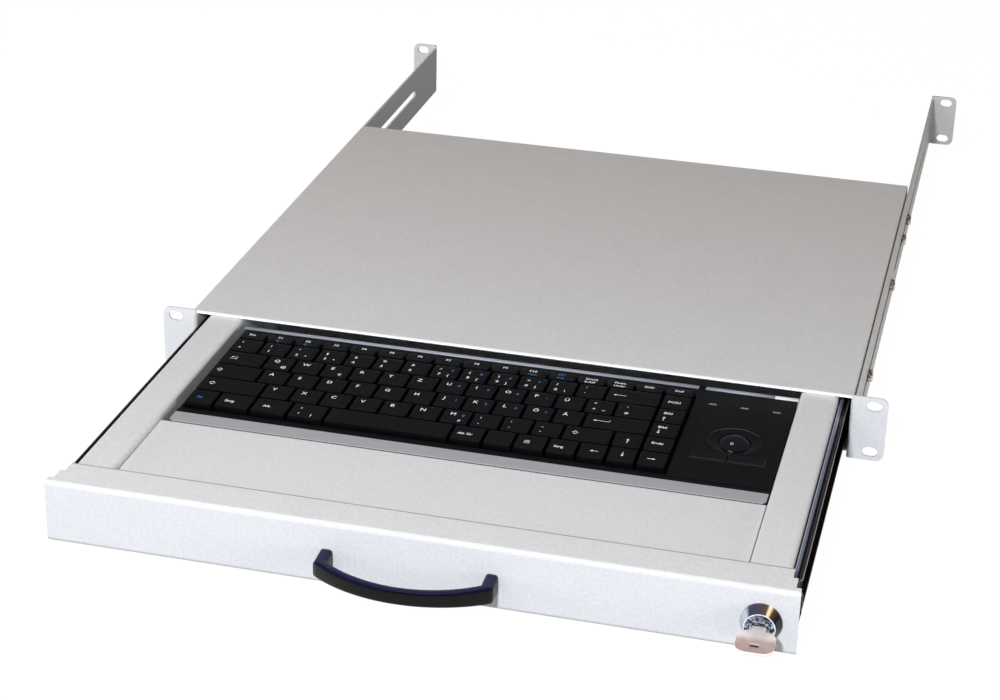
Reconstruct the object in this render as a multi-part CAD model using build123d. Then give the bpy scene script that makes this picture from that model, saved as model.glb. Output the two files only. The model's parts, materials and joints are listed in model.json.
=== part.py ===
from build123d import *
from math import sqrt
import os

# Rack keyboard drawer, one rack unit high, drawn out to its stop.
# Millimetres. The front faces -Y and +Z is up. Heights below are written from the
# bottom line of the rack unit, and every piece is lowered by half a unit when it
# is written, so the origin is the centre of the four front ear slots, on the ears' face.

# Rack standard
unit_height = 44.45
rack_width = 482.6
slot_edge = 8.75
slot_pitch_z = 31.75
slot_length = 9.6
slot_height = 6.5
ear_margin = 0.4
ear_corner = 5.0
ear_width = 22.0

# General fits
overrun = 5.0
run_gap = 0.3
thread_gap = 0.15
m4_radius = 2.0
m4_head_radius = 4.25
m4_head_height = 2.8
m3_radius = 1.5
m3_head_radius = 2.8
m3_head_height = 2.0
recess_width = 0.9
recess_share = 0.6

# Case: side plates, cover, floor
case_depth = 381.0
side_sheet = 1.4
side_bend = 1.5
side_flange = 8.9
side_flange_start = 26.0
side_seat_radius = 6.0
side_seat_height = 0.5
foot_flange = 14.3
floor_start = 9.0
cover_sheet = 1.2
cover_side_gap = 0.4
cover_bend = 1.8
cover_drop = 1.45
cover_front_gap = 0.1
cover_lip = 12.0
hem_depth = 5.5
hem_drop = 0.4
cover_screw_drop = 6.0
cover_screw_share = [-1.0, -0.333, 0.333, 1.0]
floor_sheet = 1.0
floor_edge_gap = 7.5
cable_exit_length = 60.0
cable_exit_height = 14.0
cable_exit_share = 0.5

# Rear rails
rail_sheet = 1.8
rail_bottom = 1.0
rail_top_gap = 3.05
rail_front = 5.0
rail_back = 604.0
rail_slot_height = 6.5
front_slot_start = 20.0
front_slot_end = 245.0
rear_slot_start = 265.0
rear_slot_margin = 70.0
rail_screw_front = 80.0
rail_screw_share = [0.0, 0.542, 0.853, 1.0]
rail_screw_back_gap = 15.0

# Ball slides
slide_sheet = 1.2
slide_bend = 1.2
slide_outer_front = 23.0
slide_outer_back = 372.0
slide_outer_bottom = 2.5
slide_top_gap = 3.3
slide_lip = 7.0
slide_inner_depth = 6.5
slide_inner_length = 350.0
slide_inner_setback = 24.4
slide_nose = 4.0
slide_screw_share = [0.125, 0.5, 0.875]
race_height = 3.1
ball_radius = 2.0
cage_sheet = 0.4
cage_length = 100.0
cage_front = 27.5
cage_lip = 5.0
balls_per_race = 3
ball_pitch = 38.0
cage_stop_depth = 1.5
cage_stop_width = 3.4
stop_tab_depth = 5.0
stop_tab_gap = 0.5
stop_tab_low_gap = 5.2
stop_tab_high_gap = 2.2
stop_tab_corner = 5.0
bumper_depth = 3.0
bumper_width = 4.6

# Drawer tray, front panel and palm rest
panel_front = -241.4
panel_edge_gap = 1.3
panel_sheet = 1.5
panel_bend = 2.2
panel_bottom = 1.5
panel_top_gap = 0.74
panel_flange_depth = 25.1
panel_return = 9.4
panel_step_start = 5.4
panel_step_end = 15.4
panel_step_inset = 3.5
panel_flange_inset = 6.5
tray_sheet = 1.2
tray_bend = 2.4
tray_end_gap = 1.0
tray_bottom = 3.4
tray_top_gap = 0.8
tray_rail_width = 23.3
tray_back_wall = 24.0
tray_front_flange = 26.0
tray_front_inset = 21.2
tray_notch_width = 60.0
tray_notch_height = 12.0
palm_drop = 4.0
palm_setback = 19.4
palm_keyboard_gap = 1.2
palm_sheet = 1.2
palm_bend = 2.0
palm_gap = 0.3

# Handle
handle_pitch = 96.0
handle_post_width = 7.6
handle_bottom = 11.8
handle_height = 12.4
handle_tip_height = 8.6
handle_reach = 30.1
handle_post_reach = 12.8
handle_bow_depth = 5.8
handle_round = 1.6
handle_hole_depth = 9.0

# Cam lock and its key
lock_inset = 20.0
lock_height = 20.0
bezel_radius = 11.7
bezel_tip_radius = 8.4
bezel_depth = 7.6
bezel_rim = 1.0
barrel_radius = 9.0
barrel_depth = 12.4
nut_across = 22.0
nut_depth = 3.0
plug_radius = 5.8
plug_recess = 0.6
shank_radius = 4.0
shank_flat = 3.0
cam_gap = 0.9
cam_sheet = 1.5
cam_reach = 13.5
cam_half_width = 5.5
cam_nut_across = 9.0
cam_nut_depth = 2.4
keyway_width = 8.6
keyway_height = 2.6
keyway_depth = 18.0
key_sheet = 2.0
key_blade_width = 8.0
key_blade_length = 16.0
key_neck = 4.0
key_bow_width = 21.0
key_bow_length = 22.0
key_bow_corner = 6.5
key_hole_width = 5.0
key_hole_length = 3.0
key_hole_corner = 1.0
key_hole_inset = 7.0
key_notch = 1.4
key_notch_angle = 45.0
key_notch_count = 4
strike_gap = 0.6
strike_top = 10.5
strike_half_width = 8.0
strike_foot = 14.0
strike_sheet = 1.2

# Keyboard housing
board_left_gap = 4.2
board_right_gap = 1.5
board_setback = 101.4
board_depth = 142.0
board_wall = 1.3
board_floor = 2.0
board_corner = 3.0
board_foot_round = 1.8
shell_drop = 5.0
shell_sheet = 1.5
trim_sheet = 0.5
trim_depth = 16.0
trim_apron = 2.5
rear_trim_overhang = 1.6
rear_trim_split_gap = 1.9
rear_trim_slant = 2.4
rear_trim_depth = 6.1
rear_trim_back_gap = 0.5
side_trim_start_gap = 2.6
side_trim_overhang = 0.9
side_trim_depth = 2.5
post_radius = 4.0
post_tip_radius = 1.8
post_x_share = [0.0, 0.5, 1.0]
post_inset = 6.0

# Keys
key_field_inset = 1.5
key_field_setback = 19.0
key_section_gap = 1.8
key_row_depth = 19.45
function_row_depth = 11.2
key_rise = 3.7
key_height = 5.7
key_gap = 0.35
key_side_slope = 1.1
key_front_slope = 0.9
key_back_slope = 1.0
key_wall = 1.0
key_travel = 2.0
key_clearance = 0.4
stem_width = 3.6
stem_depth = 2.8
stem_gap = 0.3
stem_length = 4.0
plate_sheet = 1.5
switch_height = 6.1
circuit_sheet = 1.6
dome_sheet_thickness = 0.6
dome_width = 5.0
dome_height = 1.2
dome_shrink = 1.2

# Trackball section
section_width = 60.9
section_back_gap = 18.0
section_sheet = 0.8
section_ledge = 1.6
pad_left_gap = 6.2
pad_right_gap = 4.2
pad_front_gap = 23.0
pad_back_gap = 30.0
pad_height = 0.5
ball_left_gap = 31.7
ball_front_gap = 53.0
ball_drop = 7.9
trackball_radius = 12.7
cup_wall = 3.5
ring_radius = 17.5
ring_inner_radius = 10.0
ring_rise = 1.7
ring_dish = 1.0
ring_flange = 1.5
ring_flange_sheet = 1.4
roller_radius = 1.5
roller_half_length = 12.0
bearing_place = 9.5
bearing_sheet = 1.6
bearing_half_width = 3.0
wheel_radius = 4.6
wheel_sheet = 1.0
window_half_width = 8.2
window_half_height = 3.2
button_side_gap = 1.8
button_split = 0.6
button_split_shift = 0.9
button_right_gap = 2.7
button_front_gap = 3.0
button_depth = 10.5
button_rise = 2.0
button_travel = 1.0
button_skirt = 1.0
button_skirt_sheet = 0.9
button_stem_length = 3.0
button_corner = 0.8
led_pitch = 20.1
led_shift = 1.0
led_back_gap = 7.0
led_length = 5.0
led_width = 2.0
led_rise = 0.1

# Key rows from front to back: node and width of each key, as shares of the row
modifier_row_shares = [("modifier_keys", 1.0), ("modifier_keys", 1.23), ("modifier_keys", 1.26),
                       ("modifier_keys", 1.24), ("space_bar", 4.16), ("modifier_keys", 1.09),
                       ("modifier_keys", 0.98), ("modifier_keys", 1.05), ("modifier_keys", 0.99),
                       ("navigation_keys", 0.94), ("navigation_keys", 0.96), ("navigation_keys", 0.98)]
bottom_row_shares = [("left_shift_key", 2.21), *[("bottom_row_keys", 1.008)] * 10,
                     ("right_shift_key", 1.61), ("navigation_keys", 1.0), ("navigation_keys", 0.98)]
home_row_shares = [("caps_lock_key", 1.75), *[("home_row_keys", 1.0)] * 11,
                   ("enter_key", 2.15), ("navigation_keys", 0.98)]
top_row_shares = [("tab_key", 1.57), *[("top_row_keys", 1.0)] * 12,
                  ("top_row_keys", 1.33), ("navigation_keys", 0.98)]
number_row_shares = [("number_keys", 1.07), *[("number_keys", 1.0)] * 12,
                     ("backspace_key", 1.84), ("navigation_keys", 0.98)]
function_row_shares = [("function_keys", 1.0)] * 16
key_row_shares = [modifier_row_shares, bottom_row_shares, home_row_shares,
                  top_row_shares, number_row_shares, function_row_shares]
wide_key_share = 2.0

# Places across the object, from the rack's width inwards
side_outer = rack_width / 2 - ear_width
side_inner = side_outer - side_sheet
slot_x = rack_width / 2 - slot_edge
slot_heights = [(unit_height - slot_pitch_z) / 2, (unit_height + slot_pitch_z) / 2]
rail_inner = side_outer + side_seat_height + run_gap
rail_outer = rail_inner + rail_sheet
floor_half_width = side_inner - floor_edge_gap
cable_exit_x = side_outer * cable_exit_share
outer_web_inner = side_inner - slide_sheet
tray_outer = side_inner - slide_lip - slide_sheet - (side_flange - slide_lip - side_sheet) + run_gap
inner_web_outer = tray_outer + slide_sheet
inner_reach = tray_outer + slide_inner_depth
ball_track_x = (side_inner - slide_lip + inner_reach) / 2
panel_half_width = side_outer - panel_edge_gap
lock_x = panel_half_width - lock_inset
tray_inner_half_width = tray_outer - tray_rail_width
board_left = board_left_gap - tray_inner_half_width
board_right = tray_inner_half_width - board_right_gap
section_left = board_right - section_width
key_field_left = board_left + key_field_inset
key_field_right = section_left - key_section_gap
shell_inner_left = board_left + board_wall
partition_left = key_field_right + key_gap + run_gap
pad_left = section_left + pad_left_gap
pad_right = board_right - pad_right_gap
ball_x = section_left + ball_left_gap
button_right_start = ball_x - button_split_shift + button_split / 2
button_left_end = button_right_start - button_split

# Places from front to back
panel_back = panel_front + panel_sheet
slide_inner_front = panel_front + slide_inner_setback
slide_inner_back = slide_inner_front + slide_inner_length
stop_tab_front = slide_inner_front - stop_tab_depth
tray_front = slide_inner_front + tray_end_gap
tray_back = slide_inner_back + tray_end_gap
palm_front = panel_front + palm_setback
board_front = panel_front + board_setback
board_back = board_front + board_depth
palm_back = board_front - palm_keyboard_gap
key_field_front = board_front + key_field_setback
section_front = board_front + trim_depth
section_back = board_back - section_back_gap
rear_trim_back = board_back - rear_trim_back_gap
pad_front = section_front + pad_front_gap
pad_back = section_back - pad_back_gap
ball_y = section_front + ball_front_gap
button_front = pad_front + button_front_gap
button_back = button_front + button_depth
led_y = section_back - led_back_gap
barrel_back = panel_front + barrel_depth
cam_front = barrel_back + cam_gap
cam_back = cam_front + cam_sheet
cam_nut_back = cam_back + cam_nut_depth
rear_wall_back = case_depth + floor_sheet
rear_slot_end = rail_back - rear_slot_margin
rail_screw_span = case_depth - rail_screw_back_gap - rail_screw_front
rail_screw_ys = [rail_screw_front + share * rail_screw_span for share in rail_screw_share]

# Heights, from the rack unit downwards
ear_top = unit_height - ear_margin
rear_ear_top = unit_height - rail_bottom
side_top = unit_height - cover_drop - cover_sheet
rail_top = unit_height - rail_top_gap
rail_screw_height = (rail_bottom + rail_top) / 2
floor_top = ear_margin + side_sheet + floor_sheet
slide_outer_top = side_top - slide_top_gap
outer_race_low = slide_outer_bottom + slide_sheet
outer_race_high = slide_outer_top - slide_sheet
inner_low = outer_race_low + race_height
inner_high = outer_race_high - race_height
ball_heights = [outer_race_low + race_height / 2, outer_race_high - race_height / 2]
stop_tab_bottom = inner_low + stop_tab_low_gap
stop_tab_top = inner_high - stop_tab_high_gap
panel_top = side_top - panel_top_gap
tray_top = side_top - tray_top_gap
tray_floor_top = tray_bottom + tray_sheet
handle_middle = handle_bottom + handle_height / 2
palm_top = tray_top - palm_drop
base_floor_top = tray_floor_top + board_floor
shell_top = tray_top - shell_drop
shell_bottom = shell_top - shell_sheet
key_top = shell_top + key_rise
plate_top = key_top - key_height - key_travel - key_clearance
plate_bottom = plate_top - plate_sheet
circuit_top = plate_bottom - switch_height
section_top = shell_top + section_sheet
pad_top = section_top + pad_height
ball_height = shell_top - ball_drop
socket_radius = trackball_radius + run_gap
ring_top = shell_top + ring_rise
ring_inner_top = ring_top - ring_dish
button_top = shell_top + button_rise


def block(x, y, z):
    """Box between two limits along each axis."""
    middle = Pos((x[0] + x[1]) / 2, (y[0] + y[1]) / 2, (z[0] + z[1]) / 2)
    return middle * Box(x[1] - x[0], y[1] - y[0], z[1] - z[0])


def along_x(sketch, start, end):
    """Sketch in Y and Z, extruded between two places along X."""
    return extrude(Plane.YZ.offset(start) * sketch, amount=end - start, dir=(1, 0, 0))


def along_y(sketch, start, end):
    """Sketch in X and Z, extruded between two places along Y."""
    return extrude(Plane.XZ.offset(-start) * sketch, amount=end - start, dir=(0, 1, 0))


def along_z(sketch, start, end):
    """Sketch in X and Y, extruded between two heights."""
    return extrude(Plane.XY.offset(start) * sketch, amount=end - start, dir=(0, 0, 1))


def folded(points, sheet, bend):
    """Section of a folded sheet, from the middle line of the sheet."""
    return trace(FilletPolyline(*points, radius=bend), line_width=sheet)


def disc(x, y, radius):
    """Circle at a place of a sketch."""
    return Pos(x, y) * Circle(radius)


def mirrored(part):
    """The same piece on the other side of the middle plane."""
    return mirror(part, about=Plane.YZ)


def write(name, solids):
    """Lower the solids to the frame's origin and write them as one node."""
    lowered = [Pos(0, 0, -unit_height / 2) * solid for shape in solids for solid in shape.solids()]
    export_step(Compound(children=lowered) if len(lowered) > 1 else lowered[0], f"parts/{name}.step")


def ear_slots(sign, start, end):
    """Two mounting slots of an ear, cut along Y."""
    slots = [Pos(sign * slot_x, height) * SlotOverall(slot_length, slot_height)
             for height in slot_heights]
    return [along_y(slot, start - overrun, end + overrun) for slot in slots]


def side_plate():
    """Right side plate with its front ear, folded from one sheet, and a raised seat round each rail screw."""
    middle = side_outer - side_sheet / 2
    ear_line = [(rack_width / 2, side_sheet / 2), (middle, side_sheet / 2), (middle, case_depth)]
    plate = along_z(folded(ear_line, side_sheet, side_bend), ear_margin, ear_top)
    plate -= block((side_inner - overrun, side_outer + overrun), (side_sheet, case_depth + overrun),
                   (side_top, ear_top + overrun))
    corners = plate.edges().filter_by(Axis.Y).sort_by(Axis.X)[-2:]
    plate = fillet(corners, ear_corner)
    plate -= ear_slots(1, 0, side_sheet)
    high = side_top - side_sheet / 2
    low = ear_margin + side_sheet / 2
    edge_line = [(side_outer - side_flange, high), (middle, high), (middle, low),
                 (side_outer - foot_flange, low)]
    plate += along_y(folded(edge_line, side_sheet, side_bend), side_flange_start, case_depth)
    plate += block((side_outer - foot_flange, side_inner), (floor_start, side_flange_start),
                   (ear_margin, ear_margin + side_sheet))
    plate += block((side_outer - foot_flange, side_inner), (case_depth - side_sheet, case_depth),
                   (floor_top + side_bend, side_top - side_sheet))
    for y in rail_screw_ys:
        seat = disc(y, rail_screw_height, side_seat_radius)
        plate += along_x(seat, side_outer, side_outer + side_seat_height)
        hole = disc(y, rail_screw_height, m4_radius + thread_gap)
        plate -= along_x(hole, side_inner - overrun, side_outer + overrun)
    for height in cover_screw_heights():
        hole = disc(cover_screw_xs()[-1], height, m3_radius + thread_gap)
        plate -= along_y(hole, case_depth - side_sheet - overrun, case_depth + overrun)
    return plate


def cover_screw_xs():
    """Places of the cover screws across the back."""
    edge = side_outer - foot_flange / 2 - side_sheet / 2
    return [edge * share for share in cover_screw_share]


def cover_screw_heights():
    """Height of the cover screws, below the cover."""
    return [side_top - cover_screw_drop]


def top_cover():
    """Cover plate with a hemmed front edge and a lip down the back."""
    height = side_top + cover_sheet / 2
    lip_y = rear_wall_back + cover_sheet / 2
    front = side_sheet + cover_front_gap
    line = [(front, height), (lip_y, height), (lip_y, side_top - cover_lip)]
    edge = side_outer - cover_side_gap
    cover = along_x(folded(line, cover_sheet, cover_bend), -edge, edge)
    cover += block((-side_inner, side_inner), (front, front + hem_depth), (side_top - hem_drop, side_top))
    for x in cover_screw_xs():
        hole = disc(x, cover_screw_heights()[0], m3_radius + thread_gap)
        cover -= along_y(hole, rear_wall_back - overrun, rear_wall_back + cover_sheet + overrun)
    return cover


def case_floor():
    """Floor between the side plates with the rear wall turned up from it."""
    height = floor_top - floor_sheet / 2
    wall_y = case_depth + floor_sheet / 2
    line = [(floor_start, height), (wall_y, height), (wall_y, side_top - cover_bend)]
    floor = along_x(folded(line, floor_sheet, side_bend), -side_inner, side_inner)
    for sign in (-1, 1):
        edge = sorted((sign * floor_half_width, sign * (side_inner + overrun)))
        floor -= block(edge, (0, case_depth), (0, slide_outer_bottom + slide_sheet))
    exit_hole = Pos(cable_exit_x, unit_height / 2) * SlotOverall(cable_exit_length, cable_exit_height)
    floor -= along_y(exit_hole, case_depth - overrun, rear_wall_back + overrun)
    for x in cover_screw_xs():
        hole = disc(x, cover_screw_heights()[0], m3_radius + thread_gap)
        floor -= along_y(hole, case_depth - overrun, rear_wall_back + overrun)
    return floor


def cross_recess(radius):
    """Cross of a screw head's drive, as a sketch."""
    reach = 2 * radius * recess_share
    return Rectangle(reach, recess_width) + Rectangle(recess_width, reach)


def cover_screws():
    """Pan-head screws through the cover's lip into the rear wall."""
    head_start = rear_wall_back + cover_sheet
    screws = []
    for x in cover_screw_xs():
        at = Pos(x, cover_screw_heights()[0])
        shank = along_y(at * Circle(m3_radius), case_depth - side_sheet, head_start)
        head = along_y(at * Circle(m3_head_radius), head_start, head_start + m3_head_height)
        cross = at * cross_recess(m3_head_radius)
        screw = shank + head - along_y(cross, head_start + m3_head_height / 2, head_start + overrun)
        screws.append(screw)
    return screws


def rear_rail():
    """Right rear rail: a flat slotted bar that ends in the rear ear."""
    middle = rail_inner + rail_sheet / 2
    ear_y = rail_back - rail_sheet / 2
    ear_line = [(middle, rail_front), (middle, ear_y), (rack_width / 2, ear_y)]
    rail = along_z(folded(ear_line, rail_sheet, side_bend), rail_bottom, rear_ear_top)
    web_x = (rail_inner - overrun, rail_outer + overrun)
    web_y = (rail_front - overrun, rail_back - rail_sheet - side_bend)
    rail -= block(web_x, web_y, (rail_top, rear_ear_top + overrun))
    corners = rail.edges().filter_by(Axis.Y).sort_by(Axis.X)[-2:]
    rail = fillet(corners, ear_corner)
    rail -= ear_slots(1, rail_back - rail_sheet, rail_back)
    for start, end in ((front_slot_start, front_slot_end), (rear_slot_start, rear_slot_end)):
        slot = Pos((start + end) / 2, rail_screw_height) * SlotOverall(end - start, rail_slot_height)
        rail -= along_x(slot, rail_inner - overrun, rail_outer + overrun)
    return rail


def rail_screws(sign):
    """Pan-head screws that clamp a rear rail and hold the slide behind it."""
    head_start = rail_outer + run_gap
    screws = []
    for y in rail_screw_ys:
        at = Pos(y, rail_screw_height)
        shank = along_x(at * Circle(m4_radius), outer_web_inner, head_start)
        head = along_x(at * Circle(m4_head_radius), head_start, head_start + m4_head_height)
        top_edge = head.edges().filter_by(GeomType.CIRCLE).sort_by(Axis.X)[-1]
        head = fillet(top_edge, m4_head_height / 2)
        cross = at * cross_recess(m4_head_radius)
        screw = shank + head - along_x(cross, head_start + m4_head_height / 2, head_start + overrun)
        screws.append(screw if sign > 0 else mirrored(screw))
    return screws


def race_cut(start, end):
    """Rods that cut the two ball grooves of a slide."""
    radius = ball_radius + thread_gap
    return [along_y(disc(ball_track_x, height, radius), start - overrun, end + overrun)
            for height in ball_heights]


def slide_outer():
    """Right cabinet member: a channel that opens towards the drawer."""
    web = side_inner - slide_sheet / 2
    lip_end = side_inner - slide_lip
    high = slide_outer_top - slide_sheet / 2
    low = slide_outer_bottom + slide_sheet / 2
    line = [(lip_end, high), (web, high), (web, low), (lip_end, low)]
    slide = along_y(folded(line, slide_sheet, slide_bend), slide_outer_front, slide_outer_back)
    slide -= race_cut(slide_outer_front, slide_outer_back)
    stop_x = (inner_reach - cage_stop_width, inner_reach)
    stop_y = (slide_outer_front, slide_outer_front + cage_stop_depth)
    slide += block(stop_x, stop_y, (outer_race_low - slide_sheet / 2, inner_low - 2 * run_gap))
    slide += block(stop_x, stop_y, (inner_high + 2 * run_gap, outer_race_high + slide_sheet / 2))
    for y in rail_screw_ys:
        hole = disc(y, rail_screw_height, m4_radius + thread_gap)
        slide -= along_x(hole, outer_web_inner - overrun, side_inner + overrun)
    return slide


def slide_inner():
    """Right drawer member: a channel that opens outwards, with its front stop."""
    web = tray_outer + slide_sheet / 2
    high = inner_high - slide_sheet / 2
    low = inner_low + slide_sheet / 2
    line = [(inner_reach, high), (web, high), (web, low), (inner_reach, low)]
    slide = along_y(folded(line, slide_sheet, slide_bend), slide_inner_front, slide_inner_back)
    slide -= race_cut(slide_inner_front, slide_inner_back)
    nose = Pos(inner_reach - slide_nose, slide_inner_front + slide_nose)
    corner = nose * Rectangle(slide_nose, slide_nose, align=(Align.MIN, Align.MAX))
    corner -= nose * Circle(slide_nose)
    slide -= along_z(corner, slide_outer_bottom, slide_outer_top)
    stop_x = (inner_reach - cage_stop_width, inner_reach)
    stop_y = (slide_inner_back - cage_stop_depth, slide_inner_back)
    slide += block(stop_x, stop_y, (outer_race_low + 2 * run_gap, inner_low + slide_sheet / 2))
    slide += block(stop_x, stop_y, (inner_high - slide_sheet / 2, outer_race_high - 2 * run_gap))
    tab_y = stop_tab_front + slide_sheet / 2
    tab_line = [(web, slide_inner_front + slide_sheet), (web, tab_y), (side_inner - stop_tab_gap, tab_y)]
    tab = along_z(folded(tab_line, slide_sheet, slide_bend), stop_tab_bottom, stop_tab_top)
    tab = fillet(tab.edges().filter_by(Axis.Y).sort_by(Axis.X)[-2:], stop_tab_corner)
    slide += tab
    bumper_y = stop_tab_front + slide_sheet
    bumper_x = (inner_reach - bumper_width, inner_reach)
    middle = (stop_tab_bottom + stop_tab_top) / 2
    slide += block(bumper_x, (bumper_y, bumper_y + bumper_depth),
                   (middle - bumper_width / 2, middle + bumper_width / 2))
    for y in slide_screw_ys():
        hole = disc(y, slide_screw_height(), m3_radius + thread_gap)
        slide -= along_x(hole, tray_outer - overrun, inner_web_outer + overrun)
    return slide


def slide_screw_height():
    """Height of the screws that join a slide to the tray."""
    return (inner_low + inner_high) / 2


def slide_screw_ys():
    """Places of the screws that join a slide to the tray."""
    return [slide_inner_front + slide_inner_length * share for share in slide_screw_share]


def ball_cage():
    """Right ball cage: a thin channel with a hole for each ball."""
    web = (inner_reach + outer_web_inner) / 2
    lip_end = web - cage_lip
    line = [(lip_end, ball_heights[1]), (web, ball_heights[1]),
            (web, ball_heights[0]), (lip_end, ball_heights[0])]
    cage = along_y(folded(line, cage_sheet, cage_sheet), cage_front, cage_front + cage_length)
    for y in ball_ys():
        hole = disc(ball_track_x, y, ball_radius + thread_gap)
        for height in ball_heights:
            cage -= along_z(hole, height - cage_sheet, height + cage_sheet)
    return cage


def ball_ys():
    """Places of the balls along a cage."""
    middle = cage_front + cage_length / 2
    first = middle - ball_pitch * (balls_per_race - 1) / 2
    return [first + ball_pitch * index for index in range(balls_per_race)]


def slide_balls():
    """Steel balls of the right slide, in the upper and lower race."""
    return [Pos(ball_track_x, y, height) * Sphere(ball_radius)
            for y in ball_ys() for height in ball_heights]


def drawer_tray():
    """Tray folded from one sheet: outer wall, top rail and inner wall on each side."""
    outer = tray_outer - tray_sheet / 2
    inner = tray_inner_half_width + tray_sheet / 2
    high = tray_top - tray_sheet / 2
    low = tray_bottom + tray_sheet / 2
    line = [(-outer, tray_bottom), (-outer, high), (-inner, high), (-inner, low),
            (inner, low), (inner, high), (outer, high), (outer, tray_bottom)]
    tray = along_y(folded(line, tray_sheet, tray_bend), tray_front, tray_back)
    wall_y = panel_back + tray_sheet / 2
    front_line = [(tray_front + overrun, low), (wall_y, low), (wall_y, low + tray_front_flange)]
    front = folded(front_line, tray_sheet, tray_bend)
    front_half_width = tray_inner_half_width - tray_front_inset
    tray += along_x(front, -front_half_width, front_half_width)
    back_y = tray_back - tray_sheet / 2
    back_line = [(tray_back - 2 * overrun, low), (back_y, low), (back_y, low + tray_back_wall)]
    half = tray_inner_half_width - tray_bend
    tray += along_x(folded(back_line, tray_sheet, tray_bend), -half, half)
    notch = (cable_exit_x - tray_notch_width / 2, cable_exit_x + tray_notch_width / 2)
    notch_bottom = low + tray_back_wall - tray_notch_height
    tray -= block(notch, (tray_back - overrun, tray_back + overrun), (notch_bottom, tray_top - overrun))
    for x in handle_xs():
        hole = disc(x, handle_middle, m4_radius + thread_gap)
        tray -= along_y(hole, panel_back - overrun, panel_back + tray_sheet + overrun)
    for y in slide_screw_ys():
        hole = disc(y, slide_screw_height(), m3_radius + thread_gap)
        for edge in ((-tray_outer - overrun, -outer + overrun), (outer - overrun, tray_outer + overrun)):
            tray -= along_x(hole, *edge)
    return tray


def slide_screws():
    """Pan-head screws that join both slides to the tray."""
    screws = []
    for y in slide_screw_ys():
        at = Pos(y, slide_screw_height())
        screw = along_x(at * Circle(m3_radius), tray_outer - tray_sheet, inner_web_outer)
        screw += along_x(at * Circle(m3_head_radius), inner_web_outer, inner_web_outer + m3_head_height)
        screws += [screw, mirrored(screw)]
    return screws


def front_panel():
    """Panel with its top flange turned back over the tray and a short return below."""
    face_y = panel_front + panel_sheet / 2
    high = panel_top - panel_sheet / 2
    low = panel_bottom + panel_sheet / 2
    line = [(panel_front + panel_flange_depth, high), (face_y, high), (face_y, low),
            (panel_front + panel_return, low)]
    panel = along_x(folded(line, panel_sheet, panel_bend), -panel_half_width, panel_half_width)
    steps = ((side_inner - run_gap, panel_back),
             (panel_half_width - panel_step_inset, panel_front + panel_step_start),
             (panel_half_width - panel_flange_inset, panel_front + panel_step_end))
    for half_width, start in steps:
        for sign in (-1, 1):
            edge = sorted((sign * half_width, sign * (panel_half_width + overrun)))
            panel -= block(edge, (start, tray_front + overrun), (0, unit_height))
    holes = [disc(x, handle_middle, m4_radius + thread_gap) for x in handle_xs()]
    holes.append(disc(lock_x, lock_height, barrel_radius + thread_gap))
    return panel - [along_y(hole, panel_front - overrun, panel_back + overrun) for hole in holes]


def palm_rest():
    """Plate in front of the keyboard, on two flanges that stand on the tray."""
    half = tray_inner_half_width - palm_gap
    high = palm_top - palm_sheet / 2
    front = palm_front + palm_sheet / 2
    back = palm_back - palm_sheet / 2
    line = [(front, tray_floor_top), (front, high), (back, high), (back, tray_floor_top)]
    palm = along_x(folded(line, palm_sheet, palm_bend), -half, half)
    for sign in (-1, 1):
        edge = sorted((sign * (half - tray_bend), sign * (half + overrun)))
        palm -= block(edge, (palm_front - overrun, palm_back + overrun),
                      (0, palm_top - palm_bend - palm_sheet))
    return palm


def handle_xs():
    """Places of the two handle posts."""
    return [-handle_pitch / 2, handle_pitch / 2]


def handle():
    """Bow handle: two straight posts and a front bow on one large radius."""
    outer = handle_pitch / 2 + handle_post_width / 2
    inner = handle_pitch / 2 - handle_post_width / 2
    shoulder = panel_front - handle_post_reach
    tip = panel_front - handle_reach
    sag = shoulder - tip
    radius = (outer ** 2 + sag ** 2) / (2 * sag)
    centre_y = tip + radius
    inner_radius = radius - handle_bow_depth
    inner_shoulder = centre_y - sqrt(inner_radius ** 2 - inner ** 2)
    front_arc = ThreePointArc((-outer, shoulder), (0, tip), (outer, shoulder))
    back_arc = ThreePointArc((inner, inner_shoulder), (0, tip + handle_bow_depth), (-inner, inner_shoulder))
    right_foot = Polyline((outer, shoulder), (outer, panel_front), (inner, panel_front),
                          (inner, inner_shoulder))
    left_foot = mirror(right_foot, about=Plane.YZ)
    plan = make_face([front_arc, *right_foot.edges(), back_arc, *left_foot.edges()])
    bow = along_z(plan, handle_bottom, handle_bottom + handle_height)
    root = handle_height / 2
    end = handle_tip_height / 2
    side = Polygon((panel_front, handle_middle - root), (tip, handle_middle - end),
                   (tip, handle_middle + end), (panel_front, handle_middle + root), align=None)
    bow = bow & along_x(side, -outer, outer)
    long_edges = [edge for edge in bow.edges() if edge.center().Y < panel_front - run_gap
                  and edge.bounding_box().size.Z < handle_height / 2]
    bow = fillet(long_edges, handle_round)
    for x in handle_xs():
        hole = disc(x, handle_middle, m4_radius + thread_gap)
        bow -= along_y(hole, panel_front - handle_hole_depth, panel_front)
    return bow


def handle_screws():
    """Screws from behind the panel into the handle's posts."""
    head_start = panel_back + tray_sheet
    screws = []
    for x in handle_xs():
        tip = panel_front - handle_hole_depth + run_gap
        screw = along_y(disc(x, handle_middle, m4_radius), tip, head_start)
        head = disc(x, handle_middle, m4_head_radius)
        screw += along_y(head, head_start, head_start + m4_head_height)
        screws.append(screw)
    return screws


def lock_place():
    """Lock's axis at the panel's face, with the local Z axis pointing out of the panel."""
    return Plane(origin=(lock_x, panel_front, lock_height), x_dir=(1, 0, 0), z_dir=(0, -1, 0))


def turned(points):
    """Piece turned about the lock's axis, from radius and distance in front of the panel."""
    return lock_place() * revolve(Plane.XZ * make_face(Polyline(*points, close=True)), Axis.Z)


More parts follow.
